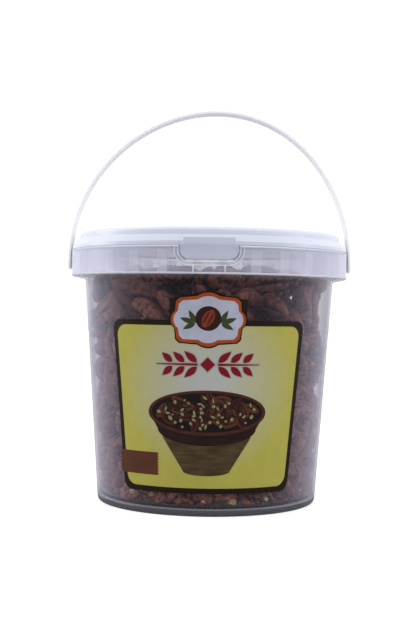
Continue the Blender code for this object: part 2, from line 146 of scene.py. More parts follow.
class NutLook(bpy.types.PropertyGroup):
    length: measure("Length", "Length of a pecan half", 28.5 * MM)
    width: measure("Width", "Width of a pecan half", 15.5 * MM)
    thickness: measure("Thickness", "Thickness of a pecan half", 8.0 * MM)
    poured: number("Poured Halves", "Pecan halves poured in round the CAD ones", 305, 0, 500)
    crumbs: number("Crumbs", "Small broken bits between the halves", 420, 0, 800)
    shapes: number("Shapes", "Different shapes of pecan half", 9, 1, 20)
    # The furrows' near-black colour is partly the skin's own, partly painted shade; the streaks use it too.
    dark_skin_and_shade: tint("Dark Skin and Shade", "Colour of the skin in its furrows", 0.010, 0.004, 0.0045)
    light_skin: tint("Light Skin", "Colour of the skin on its ridges", 0.34, 0.115, 0.080)
    kernel: tint("Kernel", "Colour of a broken face", 0.50, 0.36, 0.17)


class LabelLook(bpy.types.PropertyGroup):
    border: tint("Border", "Colour of the label's border", 0.013, 0.008, 0.004)
    field_edge: tint("Field at the Edge", "Colour of the field near its edges", 0.43, 0.395, 0.080)
    field_middle: tint("Field in the Middle", "Colour of the field in its middle", 0.43, 0.44, 0.43)
    crest_edge: tint("Crest Edge", "Colour of the crest's outline", 0.36, 0.062, 0.012)
    title: tint("Ornament", "Colour of the ornament under the crest", 0.19, 0.006, 0.016)
    tag: tint("Tag", "Colour of the blank tag", 0.105, 0.036, 0.020)


class StageLook(bpy.types.PropertyGroup):
    distance: measure("Distance", "From the lens to the tub's axis", 0.560)
    height: measure("Height", "Height of the lens over the floor", 0.0922)
    aside: measure("Aside", "How far the lens is to the right of the axis", 0.0007)
    lens: amount("Lens", "Focal length on a 36 mm film", 65.65, 10.0, 200.0)
    tilt: angle("Tilt", "How far the lens looks down", 0.302)
    roll: angle("Roll", "How far the camera is turned about its view", 0.85)
    room_light: amount("Room Light", "Brightness of the white room", 1.08, 0.0, 5.0)
    left_power: amount("Left Light", "Power of the soft light on the left, in watts", 2.0, 0.0, 100.0)
    right_power: amount("Right Light", "Power of the soft light on the right, in watts", 1.3, 0.0, 100.0)


# --- Working with the mesh tools -------------------------------------------------------------------


def deselect():
    if bpy.context.object is not None and bpy.context.object.mode != "OBJECT":
        bpy.ops.object.mode_set(mode="OBJECT")
    bpy.ops.object.select_all(action="DESELECT")


def pick(*pieces):
    """Selects these pieces and makes the first one active."""
    deselect()
    for piece in pieces:
        piece.select_set(True)
    bpy.context.view_layer.objects.active = pieces[0]


def bake_place(piece):
    """Moves a piece's place into its mesh."""
    pick(piece)
    bpy.ops.object.transform_apply(location=True, rotation=True, scale=True)


def edit_all(piece):
    pick(piece)
    bpy.ops.object.mode_set(mode="EDIT")
    bpy.ops.mesh.select_all(action="SELECT")


def close_up(piece, merge=0.000001, angle=32.0):
    """Merges doubles, turns the faces outwards and smooths all but the sharp edges."""
    edit_all(piece)
    bpy.ops.mesh.remove_doubles(threshold=merge)
    bpy.ops.mesh.normals_make_consistent(inside=False)
    bpy.ops.object.mode_set(mode="OBJECT")
    bpy.ops.object.shade_smooth_by_angle(angle=math.radians(angle))
    return piece


def apply_modifier(piece, kind, **settings):
    pick(piece)
    change = piece.modifiers.new(kind.lower(), kind)
    for key, value in settings.items():
        setattr(change, key, value)
    bpy.ops.object.modifier_apply(modifier=change.name)


def boolean(piece, tool, operation):
    apply_modifier(piece, "BOOLEAN", object=tool, operation=operation, solver="EXACT")
    bpy.data.objects.remove(tool, do_unlink=True)


def join(name, pieces):
    pick(*pieces)
    if len(pieces) > 1:
        bpy.ops.object.join()
    piece = bpy.context.object
    piece.name = name
    piece.data.name = name
    return piece


def paint(piece, *materials):
    piece.data.materials.clear()
    for material in materials:
        piece.data.materials.append(material)


def belongs(piece, body, slot, *nodes):
    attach(piece, body)
    if nodes:
        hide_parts(*nodes)
    deselect()
    return piece


def arc(centre, radius, start, end, steps):
    """Points on a circle, from one angle in degrees to another."""
    angles = [math.radians(start + (end - start) * i / steps) for i in range(steps + 1)]
    return [(centre[0] + radius * math.cos(a), centre[1] + radius * math.sin(a)) for a in angles]


def turned(name, section, segments):
    """A ring grown round Z by extruding and resizing a circle through (radius, height) points."""
    deselect()
    radius, height = section[0]
    bpy.ops.mesh.primitive_circle_add(vertices=segments, radius=radius, location=(0, 0, height))
    piece = bpy.context.object
    piece.name = name
    bake_place(piece)
    edit_all(piece)
    for new_radius, new_height in section[1:]:
        bpy.ops.mesh.extrude_region_move(
            TRANSFORM_OT_translate={"value": (0.0, 0.0, new_height - height)})
        ratio = new_radius / radius
        bpy.ops.transform.resize(value=(ratio, ratio, 1.0), center_override=(0.0, 0.0, new_height))
        radius, height = new_radius, new_height
    bpy.ops.object.mode_set(mode="OBJECT")
    return piece


def cap_rings(piece, *heights):
    """Closes the open rings at these heights with a face each."""
    for height in heights:
        pick(piece)
        for vert in piece.data.vertices:
            vert.select = abs(vert.co.z - height) < 0.01 * MM
        for edge in piece.data.edges:
            edge.select = False
        for face in piece.data.polygons:
            face.select = False
        bpy.ops.object.mode_set(mode="EDIT")
        bpy.ops.mesh.select_mode(type="VERT")
        bpy.ops.mesh.select_non_manifold(extend=False, use_boundary=True, use_wire=False)
        bpy.ops.object.mode_set(mode="OBJECT")
        for vert in piece.data.vertices:
            vert.select = vert.select and abs(vert.co.z - height) < 0.01 * MM
        bpy.ops.object.mode_set(mode="EDIT")
        bpy.ops.mesh.edge_face_add()
        bpy.ops.object.mode_set(mode="OBJECT")


def outline_face(name, points):
    """A flat face on the XZ plane: a filled circle whose corners are moved to the outline's."""
    deselect()
    bpy.ops.mesh.primitive_circle_add(vertices=len(points), radius=0.01, fill_type="NGON")
    piece = bpy.context.object
    piece.name = name
    for vert, (x, z) in zip(piece.data.vertices, points):
        vert.co = (x, 0.0, z)
    return piece


def sliced(piece, step):
    """Cuts a flat piece into upright strips, so that it can bend."""
    reach = max(abs(vert.co.x) for vert in piece.data.vertices)
    count = int(reach / step) + 1
    for i in range(-count, count + 1):
        edit_all(piece)
        bpy.ops.mesh.bisect(plane_co=(i * step, 0.0, 0.0), plane_no=(1.0, 0.0, 0.0))
    bpy.ops.object.mode_set(mode="OBJECT")
    return piece


def thicken(piece, depth):
    """Gives a flat piece its thickness, towards +Y."""
    edit_all(piece)
    bpy.ops.mesh.extrude_region_move(TRANSFORM_OT_translate={"value": (0.0, depth, 0.0)})
    bpy.ops.object.mode_set(mode="OBJECT")
    return piece


def wrap(piece, radius_at, reference):
    """Bends a flat piece round Z: its X becomes arc length on the reference radius, at the front."""
    for vert in piece.data.vertices:
        angle = vert.co.x / reference
        reach = radius_at(vert.co.z) - vert.co.y
        vert.co = (reach * math.sin(angle), -reach * math.cos(angle), vert.co.z)
    return piece


# --- Materials -------------------------------------------------------------------------------------


class Nodes:
    """A short way to write a material's nodes."""

    def __init__(self, name):
        self.material = bpy.data.materials.new(name)
        self.material.use_nodes = True
        self.tree = self.material.node_tree
        self.shader = self.tree.nodes["Principled BSDF"]

    def set(self, **values):
        for key, value in values.items():
            socket = self.shader.inputs[key.replace("_", " ")]
            socket.default_value = (*value, 1.0) if isinstance(value, (tuple, list)) else value
        return self

    def add(self, kind, **settings):
        node = self.tree.nodes.new(kind)
        for key, value in settings.items():
            if key in node.inputs:
                node.inputs[key].default_value = value
            else:
                setattr(node, key, value)
        return node

    def link(self, source, target):
        self.tree.links.new(source, target)

    def coordinates(self, kind="Object", stretch=(1.0, 1.0, 1.0)):
        source = self.add("ShaderNodeTexCoord").outputs[kind]
        mapping = self.add("ShaderNodeMapping")
        mapping.inputs["Scale"].default_value = stretch
        self.link(source, mapping.inputs["Vector"])
        return mapping.outputs["Vector"]

    def noise(self, place, scale, detail=3.0, roughness=0.55):
        node = self.add("ShaderNodeTexNoise")
        node.inputs["Scale"].default_value = scale
        node.inputs["Detail"].default_value = detail
        node.inputs["Roughness"].default_value = roughness
        self.link(place, node.inputs["Vector"])
        return node.outputs["Fac"]

    def spread(self, value, low, high, to_low=0.0, to_high=1.0):
        node = self.add("ShaderNodeMapRange")
        for key, number in (("From Min", low), ("From Max", high), ("To Min", to_low), ("To Max", to_high)):
            node.inputs[key].default_value = number
        self.link(value, node.inputs["Value"])
        return node.outputs["Result"]

    def blend(self, factor, first, second):
        node = self.add("ShaderNodeMix", data_type="RGBA")
        for socket, source in ((node.inputs[6], first), (node.inputs[7], second)):
            if isinstance(source, (tuple, list)):
                socket.default_value = (*source, 1.0)
            else:
                self.link(source, socket)
        self.link(factor, node.inputs[0])
        return node.outputs[2]

    def bump(self, height, strength, distance):
        node = self.add("ShaderNodeBump")
        node.inputs["Strength"].default_value = strength
        node.inputs["Distance"].default_value = distance
        self.link(height, node.inputs["Height"])
        self.link(node.outputs["Normal"], self.shader.inputs["Normal"])


def milky_plastic(name, tint, haze, roughness, edge_haze=None, steepness=2.0, gloss=0.5):
    """Natural polypropylene: a glossy skin, a milky body that looks denser edge-on, faint flow marks."""
    nodes = Nodes(name)
    nodes.set(Alpha=haze, Roughness=roughness, IOR=1.49, Specular_IOR_Level=gloss)
    flow = nodes.noise(nodes.coordinates(stretch=(1.0, 1.0, 0.25)), 70.0)
    lighter = tuple(min(1.0, c * 1.08) for c in tint)
    nodes.link(nodes.blend(flow, tuple(tint), lighter), nodes.shader.inputs["Base Color"])
    nodes.link(nodes.spread(flow, 0.3, 0.7, roughness * 0.8, roughness * 1.25),
               nodes.shader.inputs["Roughness"])
    nodes.bump(nodes.noise(nodes.coordinates(), 45.0, 1.0), 0.12, 0.4 * MM)
    if edge_haze is not None:
        facing = nodes.add("ShaderNodeLayerWeight", Blend=0.5).outputs["Facing"]
        steep = nodes.add("ShaderNodeMath", operation="POWER")
        steep.inputs[1].default_value = steepness
        nodes.link(facing, steep.inputs[0])
        nodes.link(nodes.spread(steep.outputs["Value"], 0.0, 1.0, haze, edge_haze),
                   nodes.shader.inputs["Alpha"])
    return nodes.material


def nut_skin(look):
    """Dry pecan skin: red-brown ridges, furrows near black (partly the skin's own darker colour, partly
    painted shade), long streaks and a few rubbed pale spots.
    """
    nodes = Nodes("pecan_skin")
    crest = nodes.add("ShaderNodeAttribute", attribute_name="crest").outputs["Fac"]
    tone = nodes.add("ShaderNodeAttribute", attribute_name="tone").outputs["Fac"]
    mottle = nodes.noise(nodes.coordinates(), 420.0, 4.0, 0.65)
    streaks = nodes.noise(nodes.coordinates("UV", (2.0, 16.0, 1.0)), 3.0, 4.0)
    height = nodes.add("ShaderNodeMath", operation="MULTIPLY_ADD")
    nodes.link(nodes.spread(mottle, 0.3, 0.7, -0.5, 0.5), height.inputs[0])
    height.inputs[1].default_value = 0.42
    nodes.link(crest, height.inputs[2])
    # Where the crest is low, in the furrows, the colour runs to near black: painted shade over the skin's own
    # darker colour there.
    deep = nodes.blend(nodes.spread(height.outputs["Value"], 0.12, 0.5), tuple(look.dark_skin_and_shade),
                       tuple(c * 0.55 for c in look.light_skin))
    body = nodes.blend(nodes.spread(height.outputs["Value"], 0.5, 0.95), deep, tuple(look.light_skin))
    streaked = nodes.blend(nodes.spread(streaks, 0.5, 0.72, 0.0, 0.6), body, tuple(look.dark_skin_and_shade))
    dull = tuple(c * 0.4 for c in look.light_skin)
    varied = nodes.blend(nodes.spread(tone, 0.0, 1.0, 0.7, 0.0), streaked, dull)
    chips = nodes.noise(nodes.coordinates(), 190.0, 2.0)
    rubbed = nodes.blend(nodes.spread(chips, 0.735, 0.77), varied, tuple(look.kernel))
    nodes.link(rubbed, nodes.shader.inputs["Base Color"])
    nodes.set(Specular_IOR_Level=0.22)
    nodes.link(nodes.spread(mottle, 0.3, 0.7, 0.66, 0.44), nodes.shader.inputs["Roughness"])
    nodes.bump(nodes.noise(nodes.coordinates(), 900.0, 4.0), 0.6, 0.4 * MM)
    return nodes.material


def nut_kernel(look):
    """The cream flesh of a broken face."""
    nodes = Nodes("pecan_kernel")
    grains = nodes.noise(nodes.coordinates(), 500.0, 4.0)
    deep = tuple(c * 0.6 for c in look.kernel)
    nodes.link(nodes.blend(nodes.spread(grains, 0.3, 0.7), deep, tuple(look.kernel)),
               nodes.shader.inputs["Base Color"])
    nodes.set(Roughness=0.6)
    nodes.bump(grains, 0.6, 0.5 * MM)
    return nodes.material


PRINT_GLOSS = 0.12


def printed(name, color, roughness=0.36):
    """Flat print on the label's film, with a slight unevenness of the ink."""
    nodes = Nodes(name)
    ink = nodes.noise(nodes.coordinates(), 260.0, 2.0)
    nodes.link(nodes.blend(nodes.spread(ink, 0.3, 0.7), tuple(color), tuple(c * 0.88 for c in color)),
               nodes.shader.inputs["Base Color"])
    nodes.set(Roughness=roughness, Specular_IOR_Level=PRINT_GLOSS)
    return nodes.material


# --- The tub ---------------------------------------------------------------------------------------


def wall_radius(height):
    return FOOT_RADIUS + WALL_SLOPE * height


def inner_radius(height):
    return wall_radius(height) - WALL


def tub_section():
    """Half of the tub's section from the gate in its base, out, up, over the rim and back down."""
    collar_inner, skirt = COLLAR_RADIUS - 1.2 * MM, COLLAR_RADIUS - 0.12 * MM
    join = wall_radius(COLLAR_JOIN)
    foot = arc((FOOT_RADIUS - 1.5 * MM, 1.5 * MM), 1.5 * MM, -90.0, 0.0, 6)
    lower_lip = arc((COLLAR_RADIUS - 0.9 * MM, COLLAR_LOW + 0.6 * MM), 0.9 * MM, -75.0, 0.0, 5)
    upper_lip = arc((COLLAR_RADIUS - 0.45 * MM, COLLAR_TOP - 0.45 * MM), 0.45 * MM, 0.0, 90.0, 4)
    rim = wall_radius(RIM_TOP)
    rim_round = arc((rim - 0.5 * MM, RIM_TOP - 0.5 * MM), 0.5 * MM, 0.0, 180.0, 6)
    heel = arc((inner_radius(FLOOR_TOP) - 2.0 * MM, FLOOR_TOP + 2.0 * MM), 2.0 * MM, 0.0, -90.0, 6)
    return [
        (1.5 * MM, 1.6 * MM), (3.0 * MM, 2.0 * MM), (30.0 * MM, 2.0 * MM), (44.8 * MM, 2.0 * MM),
        (45.4 * MM, 1.6 * MM), (45.9 * MM, 0.3 * MM), (46.3 * MM, 0.0), *foot,
        (wall_radius(2.6 * MM), 2.6 * MM), (wall_radius(2.9 * MM) - 0.12 * MM, 2.9 * MM),
        (wall_radius(3.2 * MM), 3.2 * MM),
        *[(wall_radius(z * MM), z * MM) for z in (12.0, 30.0, 50.0, 70.0, 90.0, 100.0)],
        (join, COLLAR_JOIN), (join + 0.7 * MM, COLLAR_JOIN + 0.45 * MM), *lower_lip,
        (skirt, COLLAR_LOW + 0.8 * MM), (skirt, COLLAR_LOW + 10.4 * MM),
        (skirt, COLLAR_TOP - 0.7 * MM), *upper_lip,
        (collar_inner + 0.2 * MM, COLLAR_TOP), (collar_inner, COLLAR_TOP - 0.3 * MM),
        (collar_inner, COLLAR_LOW + 1.4 * MM), (collar_inner - 0.6 * MM, COLLAR_LOW + 0.95 * MM),
        (join + 1.0 * MM, COLLAR_JOIN + 1.5 * MM),
        (wall_radius(COLLAR_LOW) + 0.3 * MM, COLLAR_LOW + 1.0 * MM),
        *rim_round,
        (inner_radius(100.0 * MM), 100.0 * MM), (inner_radius(50.0 * MM), 50.0 * MM), *heel,
        (30.0 * MM, FLOOR_TOP), (1.5 * MM, FLOOR_TOP),
    ]


def collar_pads():
    """Stiffening pads on the inside of the collar, every twelve degrees but at the notch and pegs."""
    pads = []
    pitch = TAU / 30.0
    outer = COLLAR_RADIUS - 0.5 * MM
    for i in range(30):
        angle = (i + 0.5) * pitch
        at_peg, at_notch = abs(math.degrees(angle) % 180.0 - 90.0) < 1.0, min(angle, TAU - angle) < pitch
        if at_peg or at_notch:
            continue
        width, depth = 4.0 * MM, 1.6 * MM
        low, high = COLLAR_LOW + 0.4 * MM, COLLAR_LOW + 10.2 * MM
        deselect()
        bpy.ops.mesh.primitive_cube_add(size=1.0, location=(0.0, -outer + depth / 2.0, (low + high) / 2.0))
        pad = bpy.context.object
        pad.scale = (width, depth, high - low)
        bake_place(pad)
        apply_modifier(pad, "BEVEL", width=0.2 * MM, segments=2)
        pad.data.transform(Matrix.Rotation(angle, 4, "Z"))
        pads.append(pad)
    return join("pads", pads)


def notch_tool(half_width, low, high, corner, front, depth):
    """A curved block whose outline is a U with rounded lower corners."""
    outline = [(half_width, high)]
    outline += arc((half_width - corner, low + corner), corner, 0.0, -90.0, 10)
    outline += arc((corner - half_width, low + corner), corner, -90.0, -180.0, 10)
    outline += [(-half_width, high)]
    tool = sliced(outline_face("notch", outline), 1.2 * MM)
    thicken(tool, depth)
    return close_up(wrap(tool, lambda z: front, COLLAR_RADIUS))


def pivot_hole(side):
    deselect()
    bpy.ops.mesh.primitive_cylinder_add(
        vertices=48, radius=2.8 * MM, depth=6.0 * MM, rotation=(0.0, math.radians(90.0), 0.0),
        location=(side * COLLAR_RADIUS, 0.0, HINGE.z))
    hole = bpy.context.object
    bake_place(hole)
    return hole


WALL_SLOT, COLLAR_SLOT, PAD_SLOT, RIB_SLOT, FLANGE_SLOT, FOOT_SLOT = range(6)


def sort_tub_faces(tub):
    """Gives the foot, the collar, its lips and its flange their own slots; the rest stays wall."""
    pitch, half_pad = 12.0, 1.9
    for face in tub.data.polygons:
        reach, height = math.hypot(face.center.x, face.center.y), face.center.z
        from_front = abs(math.degrees(math.atan2(face.center.x, -face.center.y)))
        off_pad = min((from_front - pitch / 2.0) % pitch, (pitch / 2.0 - from_front) % pitch)
        if height < 2.75 * MM or (height < 5.4 * MM and reach < wall_radius(height) - 0.5 * MM):
            face.material_index = FOOT_SLOT
        elif reach > COLLAR_RADIUS - 1.5 * MM and height > COLLAR_LOW - 0.1 * MM:
            lip = height < COLLAR_LOW + 0.7 * MM or height > COLLAR_TOP - 0.6 * MM
            pad = off_pad < half_pad and from_front > pitch and height < COLLAR_LOW + 10.6 * MM
            face.material_index = RIB_SLOT if lip else PAD_SLOT if pad else COLLAR_SLOT
        elif reach > wall_radius(height) + 0.2 * MM and height < COLLAR_LOW + 2.0 * MM:
            face.material_index = FLANGE_SLOT


def marked(piece, tub, slot):
    """Gives a tool the tub's materials, with all its faces in one slot."""
    paint(piece, *[entry.material for entry in tub.material_slots])
    for face in piece.data.polygons:
        face.material_index = slot
    return piece


def short_rib(angle):
    """One of the two small ribs that hold the notch's lower edge."""
    deselect()
    low, high, depth = COLLAR_LOW + 0.6 * MM, COLLAR_LOW + 4.1 * MM, 1.6 * MM
    bpy.ops.mesh.primitive_cube_add(
        size=1.0, location=(0.0, depth / 2.0 - COLLAR_RADIUS + 0.03 * MM, (low + high) / 2.0))
    rib = bpy.context.object
    rib.scale = (0.8 * MM, depth, high - low)
    bake_place(rib)
    for vert in rib.data.vertices:
        if vert.co.z < (low + high) / 2.0:
            vert.co.x *= 0.45
    apply_modifier(rib, "BEVEL", width=0.12 * MM, segments=2)
    rib.data.transform(Matrix.Rotation(angle, 4, "Z"))
    return rib


def notch_line(half_width, low, corner, width):
    """One of the two raised lines that run round the notch."""
    line = notch_tool(half_width + width, low - width, COLLAR_TOP - 0.5 * MM, corner + width,
                      COLLAR_RADIUS - 0.02 * MM, 1.6 * MM)
    inside = notch_tool(half_width, low, COLLAR_TOP + 1.0 * MM, corner, COLLAR_RADIUS + 1.0 * MM, 3.6 * MM)
    boolean(line, inside, "DIFFERENCE")
    return line


def build_tub(look):
    tub = turned("tub_shell", tub_section(), look.segments)
    cap_rings(tub, 1.6 * MM, FLOOR_TOP)
    close_up(tub)
    paint(tub,
          milky_plastic("tub_plastic", look.wall_tint, look.wall_haze, 0.2,
                        edge_haze=look.edge_haze, steepness=2.3, gloss=0.3),
          milky_plastic("collar_plastic", look.collar_tint, look.collar_haze, 0.22,
                        edge_haze=0.98, steepness=1.0, gloss=0.35),
          milky_plastic("pad_plastic", look.collar_tint, look.pad_haze, 0.2,
                        edge_haze=0.98, steepness=1.0, gloss=0.35),
          # The lips, ribs and notch lines get a lighter copy of the collar's plastic: painted highlight.
          milky_plastic("rib_plastic_highlight", look.painted_light_tint, look.rib_haze, 0.16),
          # The flange gets the same lighter colour: painted light on its underside, which the floor lights
          # only dimly.
          milky_plastic("flange_plastic_lit", look.painted_light_tint, 0.03, 0.2,
                        edge_haze=0.9, steepness=6.0, gloss=0.3),
          # The foot gets a dark, near-opaque skin: painted shade at the bottom of the tub.
          milky_plastic("foot_plastic_shaded", look.foot_shade_tint, 0.8, 0.24, gloss=0.3))
    sort_tub_faces(tub)
    boolean(tub, marked(collar_pads(), tub, PAD_SLOT), "UNION")
    for side in (-1.0, 1.0):
        boolean(tub, marked(short_rib(side * math.radians(6.0)), tub, RIB_SLOT), "UNION")
    notch_half, notch_low, corner = 13.6 * MM, COLLAR_LOW + 5.4 * MM, 5.0 * MM
    border, line = 1.9 * MM, 0.4 * MM
    around = border + 0.2 * MM
    rim = notch_tool(notch_half + around, notch_low - around, COLLAR_TOP - 0.3 * MM, corner + around,
                     COLLAR_RADIUS - 0.6 * MM, 3.1 * MM)
    boolean(tub, marked(rim, tub, PAD_SLOT), "UNION")
    for out in (-0.1 * MM, border - line):
        edge = notch_line(notch_half + out, notch_low - out, corner + out, line)
        boolean(tub, marked(edge, tub, RIB_SLOT), "UNION")
    opening = notch_tool(notch_half, notch_low, COLLAR_TOP + 5.0 * MM, corner,
                         COLLAR_RADIUS + 2.0 * MM, 6.4 * MM)
    boolean(tub, marked(opening, tub, RIB_SLOT), "DIFFERENCE")
    for side in (-1, 1):
        boolean(tub, marked(pivot_hole(side), tub, COLLAR_SLOT), "DIFFERENCE")
    close_up(tub, 0.000002)
    return belongs(tub, TUB_BODY, "tub_plastic", "tub")


# --- The lid ---------------------------------------------------------------------------------------


FLARE_RADIUS = 66.0 * MM


def lid_section():
    """Half of the lid's section from the middle of its underside, out to the skirt and back."""
    skirt, band, step = 64.4 * MM, 62.6 * MM, LID_TOP - 3.6 * MM
    skirt_low, panel, inner_rim = 118.9 * MM, LID_TOP - 2.8 * MM, 59.2 * MM
    flare_low, flare_high = COLLAR_TOP + 0.15 * MM, COLLAR_TOP + 2.2 * MM
    edge = arc((band - 1.8 * MM, LID_TOP - 1.8 * MM), 1.8 * MM, 0.0, 90.0, 8)
    inner_edge = arc((inner_rim + 0.5 * MM, LID_TOP - 0.5 * MM), 0.5 * MM, 90.0, 180.0, 4)
    flare = arc((FLARE_RADIUS - 0.5 * MM, flare_high - 0.5 * MM), 0.5 * MM, 0.0, 45.0, 4)
    return [
        (1.5 * MM, panel - 1.0 * MM), (30.0 * MM, panel - 1.0 * MM), (inner_rim - 1.6 * MM, panel - 1.0 * MM),
        (inner_rim - 1.0 * MM, panel + 0.4 * MM), (inner_rim - 0.6 * MM, LID_TOP - 1.2 * MM),
        (band - 1.5 * MM, LID_TOP - 1.2 * MM), (band - 1.0 * MM, step - 0.4 * MM),
        (skirt - 1.0 * MM, flare_high - 0.2 * MM), (skirt - 1.0 * MM, skirt_low + 0.2 * MM),
        (skirt - 0.8 * MM, skirt_low), (skirt - 0.2 * MM, skirt_low), (skirt, skirt_low + 0.2 * MM),
        (skirt, flare_low), (FLARE_RADIUS - 0.2 * MM, flare_low), (FLARE_RADIUS, flare_low + 0.2 * MM),
        (FLARE_RADIUS, flare_low + 0.45 * MM), *flare, (band + 1.0 * MM, step - 0.45 * MM),
        (band + 0.55 * MM, step), (band + 0.2 * MM, step + 0.1 * MM), (band, step + 0.35 * MM),
        *edge, *inner_edge,
        (inner_rim - 0.35 * MM, panel + 0.5 * MM), (inner_rim - 0.9 * MM, panel),
        (52.0 * MM, panel), (51.6 * MM, panel + 0.35 * MM), (50.9 * MM, panel + 0.35 * MM),
        (50.5 * MM, panel), (30.0 * MM, panel), (1.5 * MM, panel),
    ]


def pull_tab():
    """The lid's tab, which hangs from its flare into the collar's notch, with a small bridge beside it."""
    half, low, high, corner = 12.9 * MM, 113.4 * MM, COLLAR_TOP + 1.5 * MM, 4.5 * MM
    outline = [(half, high)]
    outline += arc((half - corner, low + corner), corner, 0.0, -90.0, 8)
    outline += arc((corner - half, low + corner), corner, -90.0, -180.0, 8)
    outline += [(-half, high)]
    tab = wrapped_block("tab", outline, FLARE_RADIUS - 0.1 * MM, 2.2 * MM)
    left, right, under, over = 12.4 * MM, 13.9 * MM, 117.3 * MM, 118.3 * MM
    bridge = [(left, under), (right, under), (right, over), (left, over)]
    boolean(tab, wrapped_block("tab_bridge", bridge, 65.7 * MM, 1.2 * MM), "UNION")
    return tab


def tab_root():
    """The thick root of the tab, which stands on the lid's flare up to its step."""
    low, high = COLLAR_TOP + 0.5 * MM, LID_TOP - 4.7 * MM
    outline = [(11.9 * MM, low), (-11.9 * MM, low), (-11.4 * MM, high), (11.4 * MM, high)]
    return wrapped_block("tab_root", outline, FLARE_RADIUS + 0.12 * MM, 3.2 * MM)


def wrapped_block(name, outline, front, depth):
    """A flat outline given its thickness, softened edges and the curve of the lid."""
    block = thicken(sliced(outline_face(name, outline), 1.2 * MM), depth)
    close_up(block)
    apply_modifier(block, "BEVEL", width=0.3 * MM, segments=3, limit_method="ANGLE",
                   angle_limit=math.radians(50.0))
    return close_up(wrap(block, lambda z: front, FLARE_RADIUS))


LID_SLOT, TAB_SLOT = range(2)


def build_lid(look):
    lid = turned("lid_shell", lid_section(), look.segments)
    cap_rings(lid, LID_TOP - 3.8 * MM, LID_TOP - 2.8 * MM)
    close_up(lid)
    paint(lid,
          milky_plastic("lid_plastic", look.lid_tint, look.lid_haze, 0.2, edge_haze=1.0, steepness=1.0),
          # The hanging tab takes the collar's greyer colour instead of the lid's: painted shade on the tab's
          # face.
          milky_plastic("tab_plastic_shaded", look.collar_tint, look.lid_haze, 0.3, gloss=0.3))
    boolean(lid, marked(pull_tab(), lid, TAB_SLOT), "UNION")
    boolean(lid, marked(tab_root(), lid, LID_SLOT), "UNION")
    close_up(lid, 0.000002)
    return belongs(lid, TUB_BODY, "lid_plastic", "lid")


# --- The bail handle -------------------------------------------------------------------------------


def strap_section(span, thick, half):
    """The strap's section at its foot, in X and Y, with softened corners."""
    soft, inner = 0.25 * MM, span - thick
    return [(span - soft, -half), (span, soft - half), (span, half - soft), (span - soft, half),
            (inner + soft, half), (inner, half - soft), (inner, soft - half), (inner + soft, -half)]


SHOULDER_POWER = 1.96
LEAN = 3.2 * MM
LEAN_POWER = 2.6


def bowed(handle, span, rise):
    """Narrows the arch a little and lets it lean to one side, as a limp strap does."""
    apex_share = 0.9999
    for vert in handle.data.vertices:
        up = (vert.co.z - HINGE.z) * span / rise
        share = min(1.0, max(0.0, up / math.hypot(vert.co.x, up)))
        if share < apex_share:
            vert.co.x *= math.sqrt((1.0 - share ** SHOULDER_POWER) / (1.0 - share ** 2))
        vert.co.x += LEAN * share ** LEAN_POWER


def spun_about_x(name, section, side, segments):
    """A round piece on the hinge's axis, spun from (distance along X, radius) points."""
    deselect()
    bpy.ops.mesh.primitive_circle_add(vertices=len(section), radius=0.01, fill_type="NGON")
    piece = bpy.context.object
    piece.name = name
    for vert, (along, radius) in zip(piece.data.vertices, section):
        vert.co = (side * along, 0.0, HINGE.z + radius)
    edit_all(piece)
    bpy.ops.mesh.delete(type="ONLY_FACE")
    bpy.ops.mesh.select_all(action="SELECT")
    bpy.ops.mesh.spin(steps=segments, angle=TAU, center=tuple(HINGE), axis=(1.0, 0.0, 0.0))
    bpy.ops.object.mode_set(mode="OBJECT")
    return close_up(piece, 0.00001)


def build_handle(look):
    """A strap section spun half round, stretched to its height, with rounded ends and snap-in pegs."""
    span, rise = BAIL_HIGH.x, BAIL_HIGH.z - HINGE.z
    thick, half = 1.2 * MM, 4.6 * MM
    section = strap_section(span, thick, half)
    deselect()
    bpy.ops.mesh.primitive_circle_add(vertices=len(section), radius=0.01, fill_type="NGON")
    handle = bpy.context.object
    handle.name = "handle_strap"
    for vert, (x, y) in zip(handle.data.vertices, section):
        vert.co = (x, y, HINGE.z)
    edit_all(handle)
    bpy.ops.mesh.spin(steps=144, angle=math.pi, center=tuple(HINGE), axis=(0.0, 1.0, 0.0))
    bpy.ops.mesh.select_all(action="SELECT")
    bpy.ops.transform.resize(value=(1.0, 1.0, rise / span), center_override=tuple(HINGE))
    bpy.ops.object.mode_set(mode="OBJECT")
    bowed(handle, span, rise)
    close_up(handle, 0.00001)
    inner, tip = span - thick, 64.1 * MM
    soft = 0.25 * MM
    for side in (-1.0, 1.0):
        boss = [(inner, 0.2 * MM), (inner, half - soft), (inner + soft, half), (span - soft, half),
                (span, half - soft), (span, 0.2 * MM)]
        boolean(handle, spun_about_x("handle_boss", boss, side, 48), "UNION")
        peg = [(tip, 0.3 * MM), (tip, 2.7 * MM), (tip + 0.4 * MM, 3.1 * MM), (tip + 0.8 * MM, 3.1 * MM),
               (tip + 0.95 * MM, 2.4 * MM), (inner + 0.3 * MM, 2.4 * MM), (inner + 0.3 * MM, 0.3 * MM)]
        boolean(handle, spun_about_x("handle_peg", peg, side, 40), "UNION")
    close_up(handle, 0.000002)
    edit_all(handle)
    bpy.ops.mesh.delete_loose()
    bpy.ops.object.mode_set(mode="OBJECT")
    paint(handle, milky_plastic("handle_plastic", look.handle_tint, look.handle_haze, 0.3, gloss=0.4))
    return belongs(handle, HANDLE_BODY, "handle_plastic", "bail_handle")


# --- The label -------------------------------------------------------------------------------------

LABEL_ARC = 56.0 * MM
LABEL_HALF = LABEL_ARC * math.radians(45.3)
LABEL_LOW, LABEL_HIGH = 10.5 * MM, 87.2 * MM
LABEL_BORDER = 2.4 * MM
LABEL_FLARE = 0.055 * math.pi / 180.0 * LABEL_ARC / MM
FILM = 0.12 * MM
PRINT_STEP = 0.03 * MM


